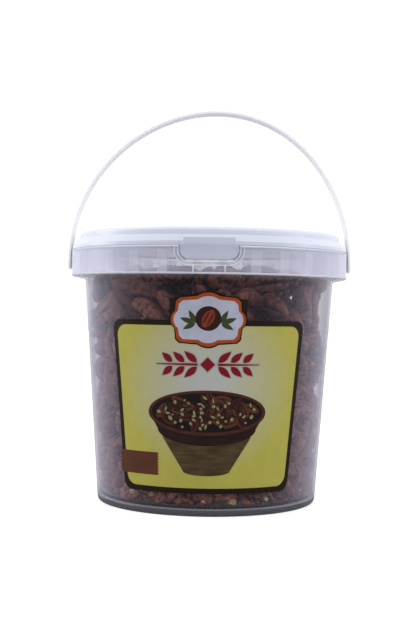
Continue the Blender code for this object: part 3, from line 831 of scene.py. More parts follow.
def label_edge(inset, corner, crest=()):
    """The label's rounded outline, a little wider at its top, this far inside its edge."""
    half, low, high = LABEL_HALF - inset, LABEL_LOW + inset, LABEL_HIGH - inset
    outline = (arc((half - corner, high - corner), corner, 0.0, 90.0, 8) + list(crest)
               + arc((corner - half, high - corner), corner, 90.0, 180.0, 8)
               + arc((corner - half, low + corner), corner, 180.0, 270.0, 8)
               + arc((half - corner, low + corner), corner, 270.0, 360.0, 8))
    middle = (LABEL_LOW + LABEL_HIGH) / 2.0
    return [(x * (1.0 + LABEL_FLARE * (min(z, LABEL_HIGH) - middle) / LABEL_HALF), z) for x, z in outline]


def plaque_outline(inset):
    """The crest: a plate with square shoulders and a round bulge on each of its four sides."""
    half, low, high, middle = 13.6 * MM - inset, 77.6 * MM + inset, 97.0 * MM - inset, 87.4 * MM
    bulge, notch = 4.6 * MM, 1.6 * MM
    side = arc((half - 2.2 * MM, middle), bulge, -55.0, 55.0, 8)
    top = arc((0.0, high - 5.0 * MM), 7.4 * MM - 0.3 * inset, 52.0, 128.0, 10)
    bottom = arc((0.0, low + 5.0 * MM), 7.0 * MM - 0.3 * inset, -128.0, -52.0, 10)
    right = [(half, low + notch)] + side + [(half, high - notch), (half - notch, high)]
    left = [(notch - half, high), (-half, high - notch)] + [(-x, z) for x, z in reversed(side)]
    return right + top + left + [(-half, low + notch), (notch - half, low)] + bottom + [(half - notch, low)]


def leaf_outline(root, length, width, turn):
    """A pointed leaf from its root, turned this many degrees from +X."""
    cos, sin = math.cos(math.radians(turn)), math.sin(math.radians(turn))
    upper = [(i / 8.0 * length, width * math.sin(math.pi * (i / 8.0) ** 0.8)) for i in range(9)]
    lower = [(x, -z) for x, z in reversed(upper[1:-1])]
    return [(root[0] + x * cos - z * sin, root[1] + x * sin + z * cos) for x, z in upper + lower]


def oval_outline(centre, half_long, half_short, turn=0.0, steps=28, sharp=1.0):
    """An oval; with sharp above 1 its ends are drawn out like those of a nut."""
    cos, sin = math.cos(math.radians(turn)), math.sin(math.radians(turn))
    points = []
    for i in range(steps):
        angle = TAU * i / steps
        x = half_long * math.cos(angle)
        z = half_short * math.sin(angle) * (1.0 - 0.22 * (sharp - 1.0) * math.cos(angle) ** 2)
        points.append((centre[0] + x * cos - z * sin, centre[1] + x * sin + z * cos))
    return points


def printed_layer(name, outlines, layer, material, relief=PRINT_STEP * 0.7):
    """One colour of the print: all its outlines as one thin skin on the label's film."""
    faces = [outline_face(name, outline) for outline in outlines]
    piece = join(name, faces)
    sliced(piece, 2.0 * MM)
    thicken(piece, relief)
    for vert in piece.data.vertices:
        vert.co.y -= FILM + 0.02 * MM + layer * PRINT_STEP
    wrap(piece, wall_radius, LABEL_ARC)
    close_up(piece, 0.0000002)
    paint(piece, material)
    return belongs(piece, TUB_BODY, "label_print")


def film_outline():
    """The film's edge: the label with a shoulder and a bulge above its top edge for the crest."""
    crest, shoulder, bulge_top, bulge = 15.7 * MM, 96.6 * MM, 100.0 * MM, 9.0 * MM
    radius = (bulge ** 2 + (bulge_top - shoulder) ** 2) / (2.0 * (bulge_top - shoulder))
    reach = math.degrees(math.asin(bulge / radius))
    crown = arc((0.0, bulge_top - radius), radius, 90.0 - reach, 90.0 + reach, 12)
    top = [(crest, LABEL_HIGH), (crest, shoulder)] + crown + [(-crest, shoulder), (-crest, LABEL_HIGH)]
    return label_edge(0.0, 4.5 * MM, top)


def field_material(look):
    """The field's print: yellow towards its edges and a pale glow in its middle."""
    nodes = Nodes("label_field")
    place = nodes.add("ShaderNodeTexCoord").outputs["Object"]
    centred = nodes.add("ShaderNodeMapping")
    centred.inputs["Location"].default_value = (0.0, 0.0, -1.44)
    centred.inputs["Scale"].default_value = (26.0, 0.0, 24.0)
    nodes.link(place, centred.inputs["Vector"])
    away = nodes.add("ShaderNodeVectorMath", operation="LENGTH")
    nodes.link(centred.outputs["Vector"], away.inputs[0])
    glow = nodes.spread(away.outputs["Value"], 0.15, 1.0)
    mottled = nodes.noise(nodes.coordinates(), 240.0, 2.0)
    yellow = nodes.blend(nodes.spread(mottled, 0.3, 0.7), tuple(look.field_edge),
                         tuple(c * 0.93 for c in look.field_edge))
    nodes.link(nodes.blend(glow, tuple(look.field_middle), yellow), nodes.shader.inputs["Base Color"])
    nodes.set(Roughness=0.34, Specular_IOR_Level=PRINT_GLOSS)
    return nodes.material


def wood_material(name, light, dark, scale):
    """Turned wood: long wavy grain."""
    nodes = Nodes(name)
    grain = nodes.noise(nodes.coordinates(stretch=(1.0, 1.0, 5.0)), scale, 4.0)
    nodes.link(nodes.blend(nodes.spread(grain, 0.36, 0.64), dark, light), nodes.shader.inputs["Base Color"])
    nodes.set(Roughness=0.36, Specular_IOR_Level=PRINT_GLOSS)
    return nodes.material


def sprig_outlines(centre, side, swell=0.0):
    """Half of the ornament under the crest: a stem with leaves above and below it."""
    half_stem = 0.55 * MM + swell
    start, end = side * (4.4 * MM - swell), side * (22.6 * MM + swell)
    outlines = [[(start, centre[1] - half_stem), (end, centre[1] - 0.2 * MM - swell),
                 (end, centre[1] + 0.2 * MM + swell), (start, centre[1] + half_stem)]]
    for i, at in enumerate((4.6, 10.0, 15.4)):
        length = (7.4 - 0.6 * i) * MM
        for up in (-1.0, 1.0):
            turn = up * 42.0 if side > 0 else 180.0 - up * 42.0
            lean = math.radians(turn)
            root = (side * at * MM - swell * math.cos(lean),
                    centre[1] + up * 0.9 * MM - swell * math.sin(lean))
            outlines.append(leaf_outline(root, length + 2.0 * swell, 1.5 * MM + 0.7 * swell, turn))
    return outlines


def bowl_profile(top, bottom, half_top, half_bottom, belly):
    """The bowl's wall between two heights, its lower edge bowed like the ellipse it is."""
    turns = [math.radians(180.0 + 180.0 * i / 20) for i in range(21)]
    lower = [(half_bottom * math.cos(a), bottom + belly * math.sin(a)) for a in turns]
    return lower + [(half_top, top), (-half_top, top)]


def build_label_ground(look):
    film = printed_layer("label_film", [film_outline()], 0, printed("label_border", look.border), FILM)
    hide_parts("label")
    printed_layer("label_field", [label_edge(LABEL_BORDER, 5.0 * MM)], 1, field_material(look))


def build_label_crest(look):
    black = tuple(c * 0.35 for c in look.border)
    printed_layer("crest_shadow", [plaque_outline(-0.5 * MM)], 2, printed("crest_black", black))
    printed_layer("crest_edge", [plaque_outline(0.0)], 3, printed("crest_orange", look.crest_edge))
    printed_layer("crest_field", [plaque_outline(1.25 * MM)], 4,
                  printed("crest_lavender", (0.44, 0.46, 0.57)))
    middle = 88.0 * MM
    leaves = []
    for side in (-1.0, 1.0):
        for at, turn, length in ((5.2, 62.0, 6.4), (5.8, 20.0, 6.6), (5.4, -28.0, 6.0)):
            angle = turn if side > 0 else 180.0 - turn
            leaves.append(leaf_outline((side * at * MM, middle - 2.0 * MM), length * MM, 1.15 * MM, angle))
    printed_layer("crest_leaves", leaves, 5, printed("crest_green", (0.045, 0.060, 0.022)))
    printed_layer("crest_medallion", [oval_outline((0.0, middle), 5.4 * MM, 5.4 * MM, steps=40)], 6,
                  printed("crest_brown", (0.028, 0.010, 0.008)))
    nut = oval_outline((0.0, middle), 4.3 * MM, 2.4 * MM, 62.0, 30, 1.8)
    printed_layer("crest_nut", [nut], 7, printed("crest_red", (0.22, 0.035, 0.018)))
    furrows = [oval_outline((0.9 * side * MM, middle + 0.4 * side * -1.0 * MM), 3.1 * MM, 0.26 * MM, 62.0)
               for side in (-1.0, 1.0)]
    printed_layer("crest_furrows", furrows, 8, printed("crest_dark", (0.02, 0.007, 0.006)))


def build_label_ornament(look):
    centre = (0.0, 67.8 * MM)
    for name, layer, swell, material in (
            ("ornament_halo", 2, 0.55 * MM, printed("ornament_pale", (0.37, 0.37, 0.31))),
            ("ornament", 4, 0.0, printed("ornament_red", look.title))):
        tip = 3.2 * MM + 1.2 * swell
        lozenge = [(-tip, centre[1]), (0.0, centre[1] - tip), (tip, centre[1]), (0.0, centre[1] + tip)]
        sprigs = sprig_outlines(centre, 1.0, swell) + sprig_outlines(centre, -1.0, swell)
        stems, leaves = [sprigs[0], sprigs[len(sprigs) // 2], lozenge], sprigs[1:len(sprigs) // 2]
        leaves += sprigs[len(sprigs) // 2 + 1:]
        printed_layer(f"{name}_leaves", leaves, layer, material)
        printed_layer(f"{name}_stems", stems, layer + 1, material)


def scattered(seed, count, half_wide, half_high):
    """Places inside an oval, evenly enough spread."""
    draw = np.random.default_rng(seed)
    places = []
    while len(places) < count:
        x, z = draw.uniform(-1.0, 1.0, 2)
        near = min((math.hypot(x - a, z - b) for a, b in places), default=9.0)
        if x * x + z * z < 1.0 and near > 0.9 / math.sqrt(count):
            places.append((x, z))
    return [(x * half_wide, z * half_high) for x, z in places]


def build_label_bowl(look):
    rim = (0.0, 46.4 * MM)
    wide, high = 27.0 * MM, 10.0 * MM
    body = bowl_profile(35.6 * MM, 20.6 * MM, 20.4 * MM, 10.8 * MM, 2.2 * MM)
    band = bowl_profile(46.4 * MM, 39.2 * MM, 27.0 * MM, 22.6 * MM, 7.4 * MM)
    light, dark = (0.088, 0.058, 0.028), (0.050, 0.031, 0.015)
    printed_layer("bowl_body", [body], 2, wood_material("bowl_wood", light, dark, 110.0))
    printed_layer("bowl_band", [band], 3,
                  wood_material("bowl_band_wood", (0.026, 0.010, 0.008), (0.014, 0.007, 0.006), 120.0))
    printed_layer("bowl_rim", [oval_outline(rim, wide, high, steps=64)], 4,
                  wood_material("bowl_rim_wood", (0.075, 0.022, 0.014), (0.05, 0.014, 0.010), 130.0))
    hollow = oval_outline((0.0, rim[1] + 0.1 * MM), wide - 1.7 * MM, high - 1.3 * MM, steps=56)
    printed_layer("bowl_hollow", [hollow], 5, printed("bowl_shade", (0.012, 0.006, 0.005)))
    draw = np.random.default_rng(5)
    shades = ((0.060, 0.019, 0.013), (0.085, 0.031, 0.019), (0.040, 0.013, 0.010))
    spots = scattered(3, 42, wide - 5.6 * MM, high - 3.4 * MM)
    turns = draw.uniform(0.0, 180.0, len(spots))
    for tone, shade in enumerate(shades):
        nuts = [oval_outline((x, rim[1] + 0.4 * MM + z), 3.9 * MM, 1.75 * MM, turn, 20, 1.8)
                for (x, z), turn in list(zip(spots, turns))[tone::3]]
        printed_layer(f"bowl_nuts_{tone + 1}", nuts, 6 + tone, printed(f"bowl_nut_{tone + 1}", shade))
    furrows = [oval_outline((x, rim[1] + 0.4 * MM + z), 2.9 * MM, 0.2 * MM, turn, 12)
               for (x, z), turn in zip(spots, turns)]
    printed_layer("bowl_furrows", furrows, 9, printed("bowl_furrow", (0.012, 0.005, 0.004)))
    crumbs = [oval_outline((x, rim[1] + z), draw.uniform(0.5, 1.3) * MM, draw.uniform(0.35, 0.8) * MM,
                           draw.uniform(0.0, 180.0), 9)
              for x, z in scattered(8, 46, wide - 4.6 * MM, high - 2.8 * MM)]
    printed_layer("bowl_crumbs", crumbs, 10, printed("bowl_crumb", (0.24, 0.22, 0.11)))


def build_label_tag(look):
    low, high, left, right = 18.0 * MM, 28.2 * MM, -LABEL_HALF + 0.4 * MM, -22.2 * MM
    teeth = 8
    pitch = (high - low) / teeth
    edge = []
    for i in range(teeth):
        edge += [(right - 0.9 * MM, low + i * pitch), (right, low + (i + 0.5) * pitch)]
    outline = [(left, low)] + edge + [(right - 0.9 * MM, high), (left, high)]
    light, dark = tuple(look.tag), tuple(c * 0.8 for c in look.tag)
    printed_layer("label_tag", [outline], 2, wood_material("tag_brown", light, dark, 60.0))


# --- The pecan halves ------------------------------------------------------------------------------


# How far a half's ends hang below its middle, as a share of its thickness; the CAD's is 8 mm.
DROOP = 0.2
CAD_THICKNESS_MM = 8.0


def nut_shape(look, number, segments, rings):
    """A pecan half in its own frame: its cut face down, its blunter end at +X.

    A ball is drawn out to a long half, and its vertices are moved: two furrows and a lobed margin
    on the round side, one channel with a thin ridge on the cut side, and wrinkles all over.
    """
    deselect()
    bpy.ops.mesh.primitive_uv_sphere_add(segments=segments, ring_count=rings, radius=1.0,
                                         rotation=(0.0, math.radians(90.0), 0.0))
    nut = bpy.context.object
    nut.name = f"nut_shape_{number}"
    bake_place(nut)
    draw = np.random.default_rng(100 + number)
    half_long, half_wide, thick = look.length / 2.0, look.width / 2.0, look.thickness
    furrow_at, furrow_deep = draw.uniform(0.30, 0.38), draw.uniform(1.9, 2.5) * MM
    pitch = draw.uniform(3.2, 4.4) * MM
    phases = draw.uniform(0.0, TAU, 3)
    bend = draw.uniform(-0.9, 0.9) * MM
    narrow = draw.uniform(0.9, 1.0)
    crest = []
    for vert in nut.data.vertices:
        along, y0, z0 = vert.co
        share = min(1.0, abs(along))
        turn = math.atan2(z0, y0)
        c, s = math.cos(turn), math.sin(turn)
        fade = 1.0 - share ** 4
        girth = (1.0 - share ** 2.4) ** 0.55 * (1.0 + 0.10 * along) * narrow
        tall = 0.58 if s > 0.0 else 0.42
        crown = (1.0 - share ** 2.6) ** 0.6
        y = half_wide * girth * math.copysign(abs(c) ** 0.85, c)
        z = thick * tall * crown * math.copysign(abs(s) ** 0.8, s)
        x = half_long * along
        across = y / (half_wide * girth) if girth > 0.01 else 0.0
        place = Vector((x, y, z)) / MM + Vector((37.0 * number, 0.0, 0.0))
        lumps = 0.5 * noise.noise(place * 0.33) + 0.42 * noise.noise(place * 0.8)
        move = (lumps - 0.45 * (1.0 - abs(noise.noise(place * 0.55))) ** 6) * MM * 1.2
        wobble = 0.05 * math.sin(x / pitch * 1.3 + phases[2])
        if s > 0.0:
            for side in (-1.0, 1.0):
                gap = (across - side * (furrow_at + wobble)) / 0.11
                move -= furrow_deep * math.exp(-gap * gap) * fade
        else:
            move -= 1.9 * MM * math.exp(-(across / 0.2) ** 2) * fade * min(1.0, abs(s) * 1.6)
            move += 1.1 * MM * math.exp(-(across / 0.07) ** 2) * fade
        outer = min(1.0, max(0.0, (abs(across) - 0.45) / 0.3))
        phase = phases[0] if across > 0.0 else phases[1]
        wrinkle = 1.0 - abs(math.sin(math.pi * x / pitch + phase + 1.6 * noise.noise(place * 0.25)))
        move -= (0.25 + 0.75 * outer) * fade * 1.15 * MM * wrinkle ** 2.2
        margin = math.exp(-(s / 0.22) ** 2) * fade
        move -= 0.42 * MM * margin
        away = Vector((0.0, y, z))
        if away.length > 0.0:
            away.normalize()
        vert.co = Vector((x, y, z)) + away * max(move, -0.75 * math.hypot(y, z))
        vert.co.z -= DROOP * thick * share * share
        vert.co.y += bend * (share * share - 0.3)
        # crest: how far each point stands out; the skin's material turns its low values into painted shade in
        # the furrows.
        crest.append(min(1.0, max(0.0, 0.78 + move / (1.7 * MM))))
    heights = nut.data.attributes.new("crest", "FLOAT", "POINT")
    heights.data.foreach_set("value", crest)
    close_up(nut, angle=80.0)
    return nut


def cad_nut_pose(node):
    """Where a CAD pecan half lies: its middle and its axes, read from its own vertices."""
    flat = np.empty(len(frame["nodes"][node].data.vertices) * 3)
    frame["nodes"][node].data.vertices.foreach_get("co", flat)
    points = np.unique(flat.reshape(-1, 3).round(7), axis=0)
    spans = np.linalg.norm(points[:, None] - points[None], axis=2)
    first, last = np.unravel_index(np.argmax(spans), spans.shape)
    ends = points[[first, last]]
    along = (ends[1] - ends[0]) / spans[first, last]
    reach = np.sort((points - ends[0]) @ along)
    if reach[1] > spans[first, last] - reach[-2]:
        ends, along = ends[::-1], -along
    offsets = points - ends[0]
    offsets = offsets - np.outer(offsets @ along, along)
    axes = np.linalg.svd(offsets - offsets.mean(axis=0))[2]
    side = axes[0] - (axes[0] @ along) * along
    side /= np.linalg.norm(side)
    up = np.cross(along, side)
    heights = offsets @ up
    if heights.max() < -heights.min():
        up, side = -up, -side
    middle = ends.mean(axis=0) + DROOP * CAD_THICKNESS_MM * MM * up
    return middle, np.column_stack((along, side, up))


def ball_places(look):
    """The balls that stand for one pecan half while the heap settles."""
    long, wide = look.length / 28.5, look.width / 15.5
    return np.array([(10.2 * long, 0.0, 0.0), (-10.2 * long, 0.0, 0.0), (5.5 * long, 3.2 * wide, 0.0),
                     (5.5 * long, -3.2 * wide, 0.0), (-5.5 * long, 3.2 * wide, 0.0),
                     (-5.5 * long, -3.2 * wide, 0.0), (0.0, 3.7 * wide, 0.0), (0.0, -3.7 * wide, 0.0)])


def random_turns(draw, count):
    """Turns of halves that lie more flat than upright, either side up."""
    turns = []
    for _ in range(count):
        lean, tilt, way = draw.normal(0.0, 0.55, 2).tolist() + [draw.uniform(0.0, TAU)]
        flip = math.pi if draw.random() < 0.5 else 0.0
        about_z, about_y = Matrix.Rotation(way, 3, "Z"), Matrix.Rotation(lean, 3, "Y")
        turns.append(np.array(about_z @ about_y @ Matrix.Rotation(tilt + flip, 3, "X")))
    return np.array(turns)


def turn_matrices(vectors):
    """Rotation matrices from rotation vectors."""
    angles = np.linalg.norm(vectors, axis=1) + 1e-12
    axes = vectors / angles[:, None]
    cross = np.zeros((len(vectors), 3, 3))
    cross[:, 0, 1], cross[:, 0, 2], cross[:, 1, 2] = -axes[:, 2], axes[:, 1], -axes[:, 0]
    cross[:, 1, 0], cross[:, 2, 0], cross[:, 2, 1] = axes[:, 2], -axes[:, 1], axes[:, 0]
    sines, cosines = np.sin(angles)[:, None, None], 1.0 - np.cos(angles)[:, None, None]
    return np.eye(3) + sines * cross + cosines * (cross @ cross)


def kept_inside(places, turns, balls, size):
    """The shifts that bring halves back inside the wall and off the floor."""
    centres = places[:, None] + np.einsum("nij,kj->nki", turns, balls)
    radial = np.hypot(centres[..., 0], centres[..., 1]) + 1e-9
    over = radial + size + 0.35 * MM - inner_radius(centres[..., 2])
    worst = over.argmax(axis=1)
    rows = np.arange(len(places))
    out = centres[rows, worst, :2] / radial[rows, worst][:, None]
    under = FLOOR_TOP + 0.3 * MM + size - centres[..., 2].min(axis=1)
    inwards = -out * np.clip(over[rows, worst], 0.0, None)[:, None]
    return np.column_stack((inwards, np.clip(under, 0.0, None)))


def settle(look, fixed_places, fixed_turns):
    """Pours halves in round the fixed ones, and pushes them apart until they lie beside each other."""
    draw = np.random.default_rng(23)
    neighbour, heap_top, air, overshoot = 29.0 * MM, 109.0 * MM, 0.3 * MM, 1.25
    sink, press = 0.10 * MM, 0.12 * MM
    count, fixed = look.poured, len(fixed_places)
    height = draw.uniform(FLOOR_TOP + 5.0 * MM, 104.0 * MM, count)
    reach = np.sqrt(draw.uniform(0.0, 1.0, count)) * (inner_radius(height) - 6.0 * MM)
    way = draw.uniform(0.0, TAU, count)
    poured = np.column_stack((reach * np.cos(way), reach * np.sin(way), height))
    places = np.vstack((fixed_places, poured))
    turns = np.concatenate((fixed_turns, random_turns(draw, count)))
    balls = ball_places(look)
    full = look.thickness * 0.475
    free = np.arange(fixed + count) >= fixed
    arm = 8.0 * MM
    rounds, growing, pressing = 300, 120, 240
    for step in range(rounds):
        size = full * min(1.0, 0.5 + 0.5 * step / growing)
        if step % 10 == 0:
            gaps = np.linalg.norm(places[:, None] - places[None], axis=2)
            one, two = np.nonzero(np.triu(gaps < neighbour, 1))
            keep = free[one] | free[two]
            one, two = one[keep], two[keep]
        arms = np.einsum("nij,kj->nki", turns, balls)
        centres = places[:, None] + arms
        apart = centres[two][:, None, :] - centres[one][:, :, None]
        distance = np.linalg.norm(apart, axis=3) + 1e-9
        push = np.clip(2.0 * size - distance, 0.0, None)
        shove = apart * (push / distance)[..., None]
        weight = 1.0 / (free[one].astype(float) + free[two].astype(float))
        shove *= weight[:, None, None, None]
        force = np.zeros_like(centres)
        touches = np.zeros(centres.shape[:2])
        np.add.at(force, one, -shove.sum(axis=2))
        np.add.at(force, two, shove.sum(axis=1))
        np.add.at(touches, one, (push > 0.0).sum(axis=2))
        np.add.at(touches, two, (push > 0.0).sum(axis=1))
        radial = np.hypot(centres[..., 0], centres[..., 1]) + 1e-9
        over = np.clip(radial + size + air - inner_radius(centres[..., 2]), 0.0, None)
        force[..., 0] -= over * centres[..., 0] / radial
        force[..., 1] -= over * centres[..., 1] / radial
        under = np.clip(FLOOR_TOP + air + size - centres[..., 2], 0.0, None)
        above = np.clip(centres[..., 2] + size - heap_top, 0.0, None)
        force[..., 2] += under - above
        touches += (over > 0.0).astype(float) + (under > 0.0) + (above > 0.0)
        total = np.maximum(touches.sum(axis=1), 1.0)
        shift = overshoot * force.sum(axis=1) / total[:, None]
        twist = np.cross(arms, force).sum(axis=1) / (total[:, None] * arm * arm)
        if step < pressing:
            out = places[:, :2] / (np.linalg.norm(places[:, :2], axis=1)[:, None] + 1e-9)
            shift[:, 2] -= sink
            shift[:, :2] += press * out
        places[free] += shift[free]
        turns[free] = turn_matrices(overshoot * twist[free]) @ turns[free]
        places[free] += kept_inside(places[free], turns[free], balls, size)
    return places[fixed:], turns[fixed:]


def placed_nut(name, shape, place, turn, tone, size=1.0, reach_out=0.0):
    """A copy of a nut's shape, inside the wall, and against it if it is nearer than reach_out."""
    nut = bpy.data.objects.new(name, shape.data.copy())
    bpy.context.scene.collection.objects.link(nut)
    flat = np.empty(len(nut.data.vertices) * 3, dtype=np.float32)
    nut.data.vertices.foreach_get("co", flat)
    points = flat.reshape(-1, 3) @ (turn * size).T + place
    radial = np.hypot(points[:, 0], points[:, 1])
    over = radial + 0.25 * MM - inner_radius(points[:, 2])
    worst = over.argmax()
    if over[worst] > -reach_out:
        points[:, :2] -= points[worst, :2] / radial[worst] * over[worst]
    points[:, 2] += max(FLOOR_TOP + 0.2 * MM - points[:, 2].min(), 0.0)
    nut.data.vertices.foreach_set("co", points.astype(np.float32).ravel())
    nut.data.update()
    tones = nut.data.attributes.new("tone", "FLOAT", "POINT")
    tones.data.foreach_set("value", [tone] * len(nut.data.vertices))
    return nut


def nut_shapes(look):
    return [nut_shape(look, i, 36, 40) for i in range(look.shapes)]


def build_shown_halves(look, material):
    """The halves that the CAD places one by one, each standing for its own node."""
    shapes = nut_shapes(look)
    draw = np.random.default_rng(41)
    for i, node in enumerate(SIDE_NODES + TOP_NODES):
        place, turn = cad_nut_pose(node)
        name = node.replace("pecan_half", "shelled_half")
        nut = placed_nut(name, shapes[i % len(shapes)], place, turn, draw.uniform(0.0, 1.0), 1.0, 0.8 * MM)
        paint(nut, material)
        belongs(nut, TUB_BODY, "pecan_skin", node)
    for shape in shapes:
        bpy.data.objects.remove(shape, do_unlink=True)


def crumb_shape(number):
    """An uneven bit of a broken pecan half."""
    deselect()
    bpy.ops.mesh.primitive_ico_sphere_add(subdivisions=2, radius=1.0)
    crumb = bpy.context.object
    crumb.name = f"crumb_shape_{number}"
    for vert in crumb.data.vertices:
        place = vert.co * 1.3 + Vector((11.0 * number, 5.0, 0.0))
        vert.co *= 1.0 + 0.55 * noise.noise(place)
        vert.co.z *= 0.7
    heights = crumb.data.attributes.new("crest", "FLOAT", "POINT")
    heights.data.foreach_set("value", [0.65] * len(crumb.data.vertices))
    close_up(crumb, angle=40.0)
    return crumb


def build_crumbs(look, skin, kernel):
    """Bits that have sifted down to the foot, and a few caught between the halves and the wall."""
    shapes = [crumb_shape(i) for i in range(6)]
    for shape in shapes:
        paint(shape, skin, kernel)
    draw = np.random.default_rng(19)
    crumbs = []
    sifted_share, broken_share = 0.85, 0.14
    for i in range(look.crumbs):
        size = draw.uniform(0.7, 2.3) * MM
        low = i < look.crumbs * sifted_share
        height = FLOOR_TOP + size + (draw.uniform(0.0, 3.5) if low else draw.uniform(0.0, 95.0)) * MM
        reach = inner_radius(height) - size - (draw.uniform(0.2, 9.0) if low else draw.uniform(0.2, 3.0)) * MM
        way = draw.uniform(0.0, TAU)
        place = np.array((reach * math.cos(way), reach * math.sin(way), height))
        turn = random_turns(draw, 1)[0]
        crumb = placed_nut(f"crumb_{i}", shapes[i % len(shapes)], place, turn, draw.uniform(0.0, 0.3), size)
        if draw.random() < broken_share:
            for face in crumb.data.polygons:
                face.material_index = 1
        crumbs.append(crumb)
    belongs(join("pecan_crumbs", crumbs), TUB_BODY, "pecan_skin", HEAP_NODE)
    for shape in shapes:
        bpy.data.objects.remove(shape, do_unlink=True)


# Halves given one by one inside the top of the heap, in mm, where gaps between the others let light through.
DEEP_HALVES = ((6.0, -27.0, 94.0), (18.0, -28.0, 95.0), (30.0, -26.0, 93.0), (42.0, -21.0, 95.0))


def build_poured_halves(look, skin, kernel):
    """The rest of the heap: finely shaped halves where they show, plain ones deep inside."""
    shapes = nut_shapes(look)
    for shape in shapes:
        paint(shape, skin, kernel)
    plain = nut_shape(look, 50, 10, 6)
    paint(plain, skin, kernel)
    poses = [cad_nut_pose(node) for node in SIDE_NODES + TOP_NODES]
    places, turns = settle(look, np.array([p for p, _ in poses]), np.array([t for _, t in poses]))
    for place in np.array(DEEP_HALVES) * MM:
        nearest = min(poses, key=lambda pose: math.dist(pose[0], place))
        places, turns = np.vstack((places, [place])), np.concatenate((turns, [nearest[1]]))
    draw = np.random.default_rng(77)
    layers = {"low": [], "middle": [], "upper": [], "core": []}
    core_depth, core_low, core_high, layer = 17.0 * MM, 14.0 * MM, 92.0 * MM, 37.0 * MM
    for i, (place, turn) in enumerate(zip(places, turns)):
        depth = inner_radius(place[2]) - math.hypot(place[0], place[1])
        hidden = depth > core_depth and core_low < place[2] < core_high
        level = "core" if hidden else ("low", "middle", "upper")[min(2, int(place[2] / layer))]
        shape = plain if hidden else shapes[i % len(shapes)]
        tone, size = draw.uniform(0.0, 1.0), draw.uniform(0.96, 1.02)
        nut = placed_nut(f"poured_half_{i}", shape, place, turn, tone, size, 4.0 * MM)
        layers[level].append(nut)
    for level, nuts in layers.items():
        heap = join(f"poured_halves_{level}", nuts)
        belongs(heap, TUB_BODY, "pecan_skin", HEAP_NODE)
    for shape in shapes + [plain]:
        bpy.data.objects.remove(shape, do_unlink=True)


# --- The stage -------------------------------------------------------------------------------------


def build_stage(look):
    """A white floor, a white room, soft lights either side and the camera."""
    deselect()
    bpy.ops.mesh.primitive_circle_add(vertices=96, radius=4.0, fill_type="NGON", location=(0, 0, -0.05 * MM))
    floor = bpy.context.object
    floor.name = "floor"
    bake_place(floor)
    white = Nodes("floor_white")
    faint = white.noise(white.coordinates(), 3.0)
    white.link(white.blend(faint, (0.42, 0.42, 0.43), (0.46, 0.46, 0.465)), white.shader.inputs["Base Color"])
    white.set(Roughness=0.8, Emission_Color=(1.0, 1.0, 1.0))
    seen_first = white.add("ShaderNodeLightPath").outputs["Is Camera Ray"]
    white.link(white.spread(seen_first, 0.0, 1.0, 0.0, 0.72), white.shader.inputs["Emission Strength"])
    paint(floor, white.material)

    world = bpy.data.worlds.new("white_room")
    bpy.context.scene.world = world
    world.use_nodes = True
    tree = world.node_tree
    background = tree.nodes["Background"]
    background.inputs["Color"].default_value = (1.0, 1.0, 1.0, 1.0)
    place = tree.nodes.new("ShaderNodeTexCoord")
    parts = tree.nodes.new("ShaderNodeSeparateXYZ")
    tree.links.new(place.outputs["Generated"], parts.inputs["Vector"])
    dim = tree.nodes.new("ShaderNodeMapRange")
    for key, number in (("From Min", -1.0), ("From Max", -0.3), ("To Min", 1.0), ("To Max", 0.92)):
        dim.inputs[key].default_value = number * (look.room_light if key.startswith("To") else 1.0)
    tree.links.new(parts.outputs["Y"], dim.inputs["Value"])
    seen = tree.nodes.new("ShaderNodeLightPath")
    strength = tree.nodes.new("ShaderNodeMapRange")
    strength.inputs["To Max"].default_value = 1.05
    tree.links.new(seen.outputs["Is Camera Ray"], strength.inputs["Value"])
    tree.links.new(dim.outputs["Result"], strength.inputs["To Min"])
    tree.links.new(strength.outputs["Result"], background.inputs["Strength"])

    for name, place, power in (("soft_light_left", (-0.78, 0.10, 0.34), look.left_power),
                               ("soft_light_right", (0.80, -0.15, 0.34), look.right_power)):
        lamp = bpy.data.lights.new(name, "AREA")
        lamp.shape, lamp.size, lamp.size_y, lamp.energy = "RECTANGLE", 0.35, 0.6, power
        holder = bpy.data.objects.new(name, lamp)
        bpy.context.scene.collection.objects.link(holder)
        holder.location = place
        aim = Vector((0.0, 0.0, 0.08)) - holder.location
        holder.rotation_euler = aim.to_track_quat("-Z", "Y").to_euler()

    lens = bpy.data.cameras.new("camera")
    lens.lens = look.lens
    lens.clip_start, lens.clip_end = 0.01, 50.0
    camera = bpy.data.objects.new("camera", lens)
    bpy.context.scene.collection.objects.link(camera)
    facing = Matrix.Rotation(math.radians(90.0) - look.tilt, 4, "X") @ Matrix.Rotation(look.roll, 4, "Z")
    camera.matrix_world = Matrix.Translation((look.aside, -look.distance, look.height)) @ facing
    bpy.context.scene.camera = camera
    bpy.context.scene.view_settings.view_transform = "Standard"


# --- Operators, panel and main ---------------------------------------------------------------------


class PECAN_OT_tub(bpy.types.Operator):
    """Builds the tub with its collar, notch, pads and pivot holes"""

    bl_idname = "pecan.tub"
    bl_label = "Tub"

    def execute(self, context):
        build_tub(context.scene.pecan_tub)
        return {"FINISHED"}


class PECAN_OT_lid(bpy.types.Operator):
    """Builds the press-on lid with its pull tab"""

    bl_idname = "pecan.lid"
    bl_label = "Lid"

    def execute(self, context):
        build_lid(context.scene.pecan_tub)
        return {"FINISHED"}


class PECAN_OT_handle(bpy.types.Operator):
    """Builds the bail handle, which swings on its two pegs"""

    bl_idname = "pecan.handle"
    bl_label = "Bail Handle"

    def execute(self, context):
        build_handle(context.scene.pecan_tub)
        return {"FINISHED"}


class PECAN_OT_label(bpy.types.Operator):
    """Builds the label's film and all of its print"""

    bl_idname = "pecan.label"
    bl_label = "Label"

    def execute(self, context):
        look = context.scene.pecan_label
        for build in (build_label_ground, build_label_crest, build_label_ornament, build_label_bowl,
                      build_label_tag):
            build(look)
        return {"FINISHED"}


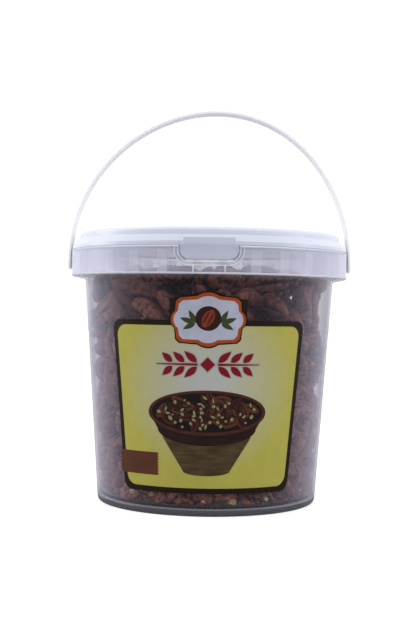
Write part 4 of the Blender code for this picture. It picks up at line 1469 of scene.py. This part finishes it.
class PECAN_OT_halves(bpy.types.Operator):
    """Shapes the pecan halves, lays the shown ones and pours in the rest"""

    bl_idname = "pecan.halves"
    bl_label = "Pecan Halves"

    def execute(self, context):
        look = context.scene.pecan_nuts
        skin, kernel = nut_skin(look), nut_kernel(look)
        build_shown_halves(look, skin)
        build_poured_halves(look, skin, kernel)
        build_crumbs(look, skin, kernel)
        return {"FINISHED"}


class PECAN_OT_stage(bpy.types.Operator):
    """Sets the floor, the room, the lights and the camera"""

    bl_idname = "pecan.stage"
    bl_label = "Stage"

    def execute(self, context):
        build_stage(context.scene.pecan_stage)
        return {"FINISHED"}


class PECAN_PT_panel(bpy.types.Panel):
    """Lists the pieces of the tub"""

    bl_idname = "PECAN_PT_panel"
    bl_label = "Pecan Tub"
    bl_space_type = "VIEW_3D"
    bl_region_type = "UI"
    bl_category = "Pecan Tub"

    def draw(self, context):
        for group, operators in PANEL_ROWS:
            box = self.layout.box()
            settings = getattr(context.scene, group)
            for key in settings.__annotations__:
                box.prop(settings, key)
            for operator in operators:
                box.operator(operator.bl_idname)


PANEL_ROWS = (
    ("pecan_tub", (PECAN_OT_tub, PECAN_OT_lid, PECAN_OT_handle)),
    ("pecan_label", (PECAN_OT_label,)),
    ("pecan_nuts", (PECAN_OT_halves,)),
    ("pecan_stage", (PECAN_OT_stage,)),
)
SETTINGS = {"pecan_tub": TubLook, "pecan_label": LabelLook, "pecan_nuts": NutLook, "pecan_stage": StageLook}
OPERATORS = (PECAN_OT_stage, PECAN_OT_tub, PECAN_OT_lid, PECAN_OT_handle, PECAN_OT_label, PECAN_OT_halves)


def register():
    for group in (*SETTINGS.values(), *OPERATORS, PECAN_PT_panel):
        bpy.utils.register_class(group)
    for name, group in SETTINGS.items():
        setattr(bpy.types.Scene, name, PointerProperty(type=group))


def unregister():
    for name in SETTINGS:
        delattr(bpy.types.Scene, name)
    for group in (PECAN_PT_panel, *reversed(OPERATORS), *SETTINGS.values()):
        bpy.utils.unregister_class(group)


def main():
    register()
    bpy.ops.pecan.stage()
    bpy.ops.pecan.tub()
    bpy.ops.pecan.lid()
    bpy.ops.pecan.handle()
    bpy.ops.pecan.label()
    bpy.ops.pecan.halves()


if __name__ == "__main__":
    main()
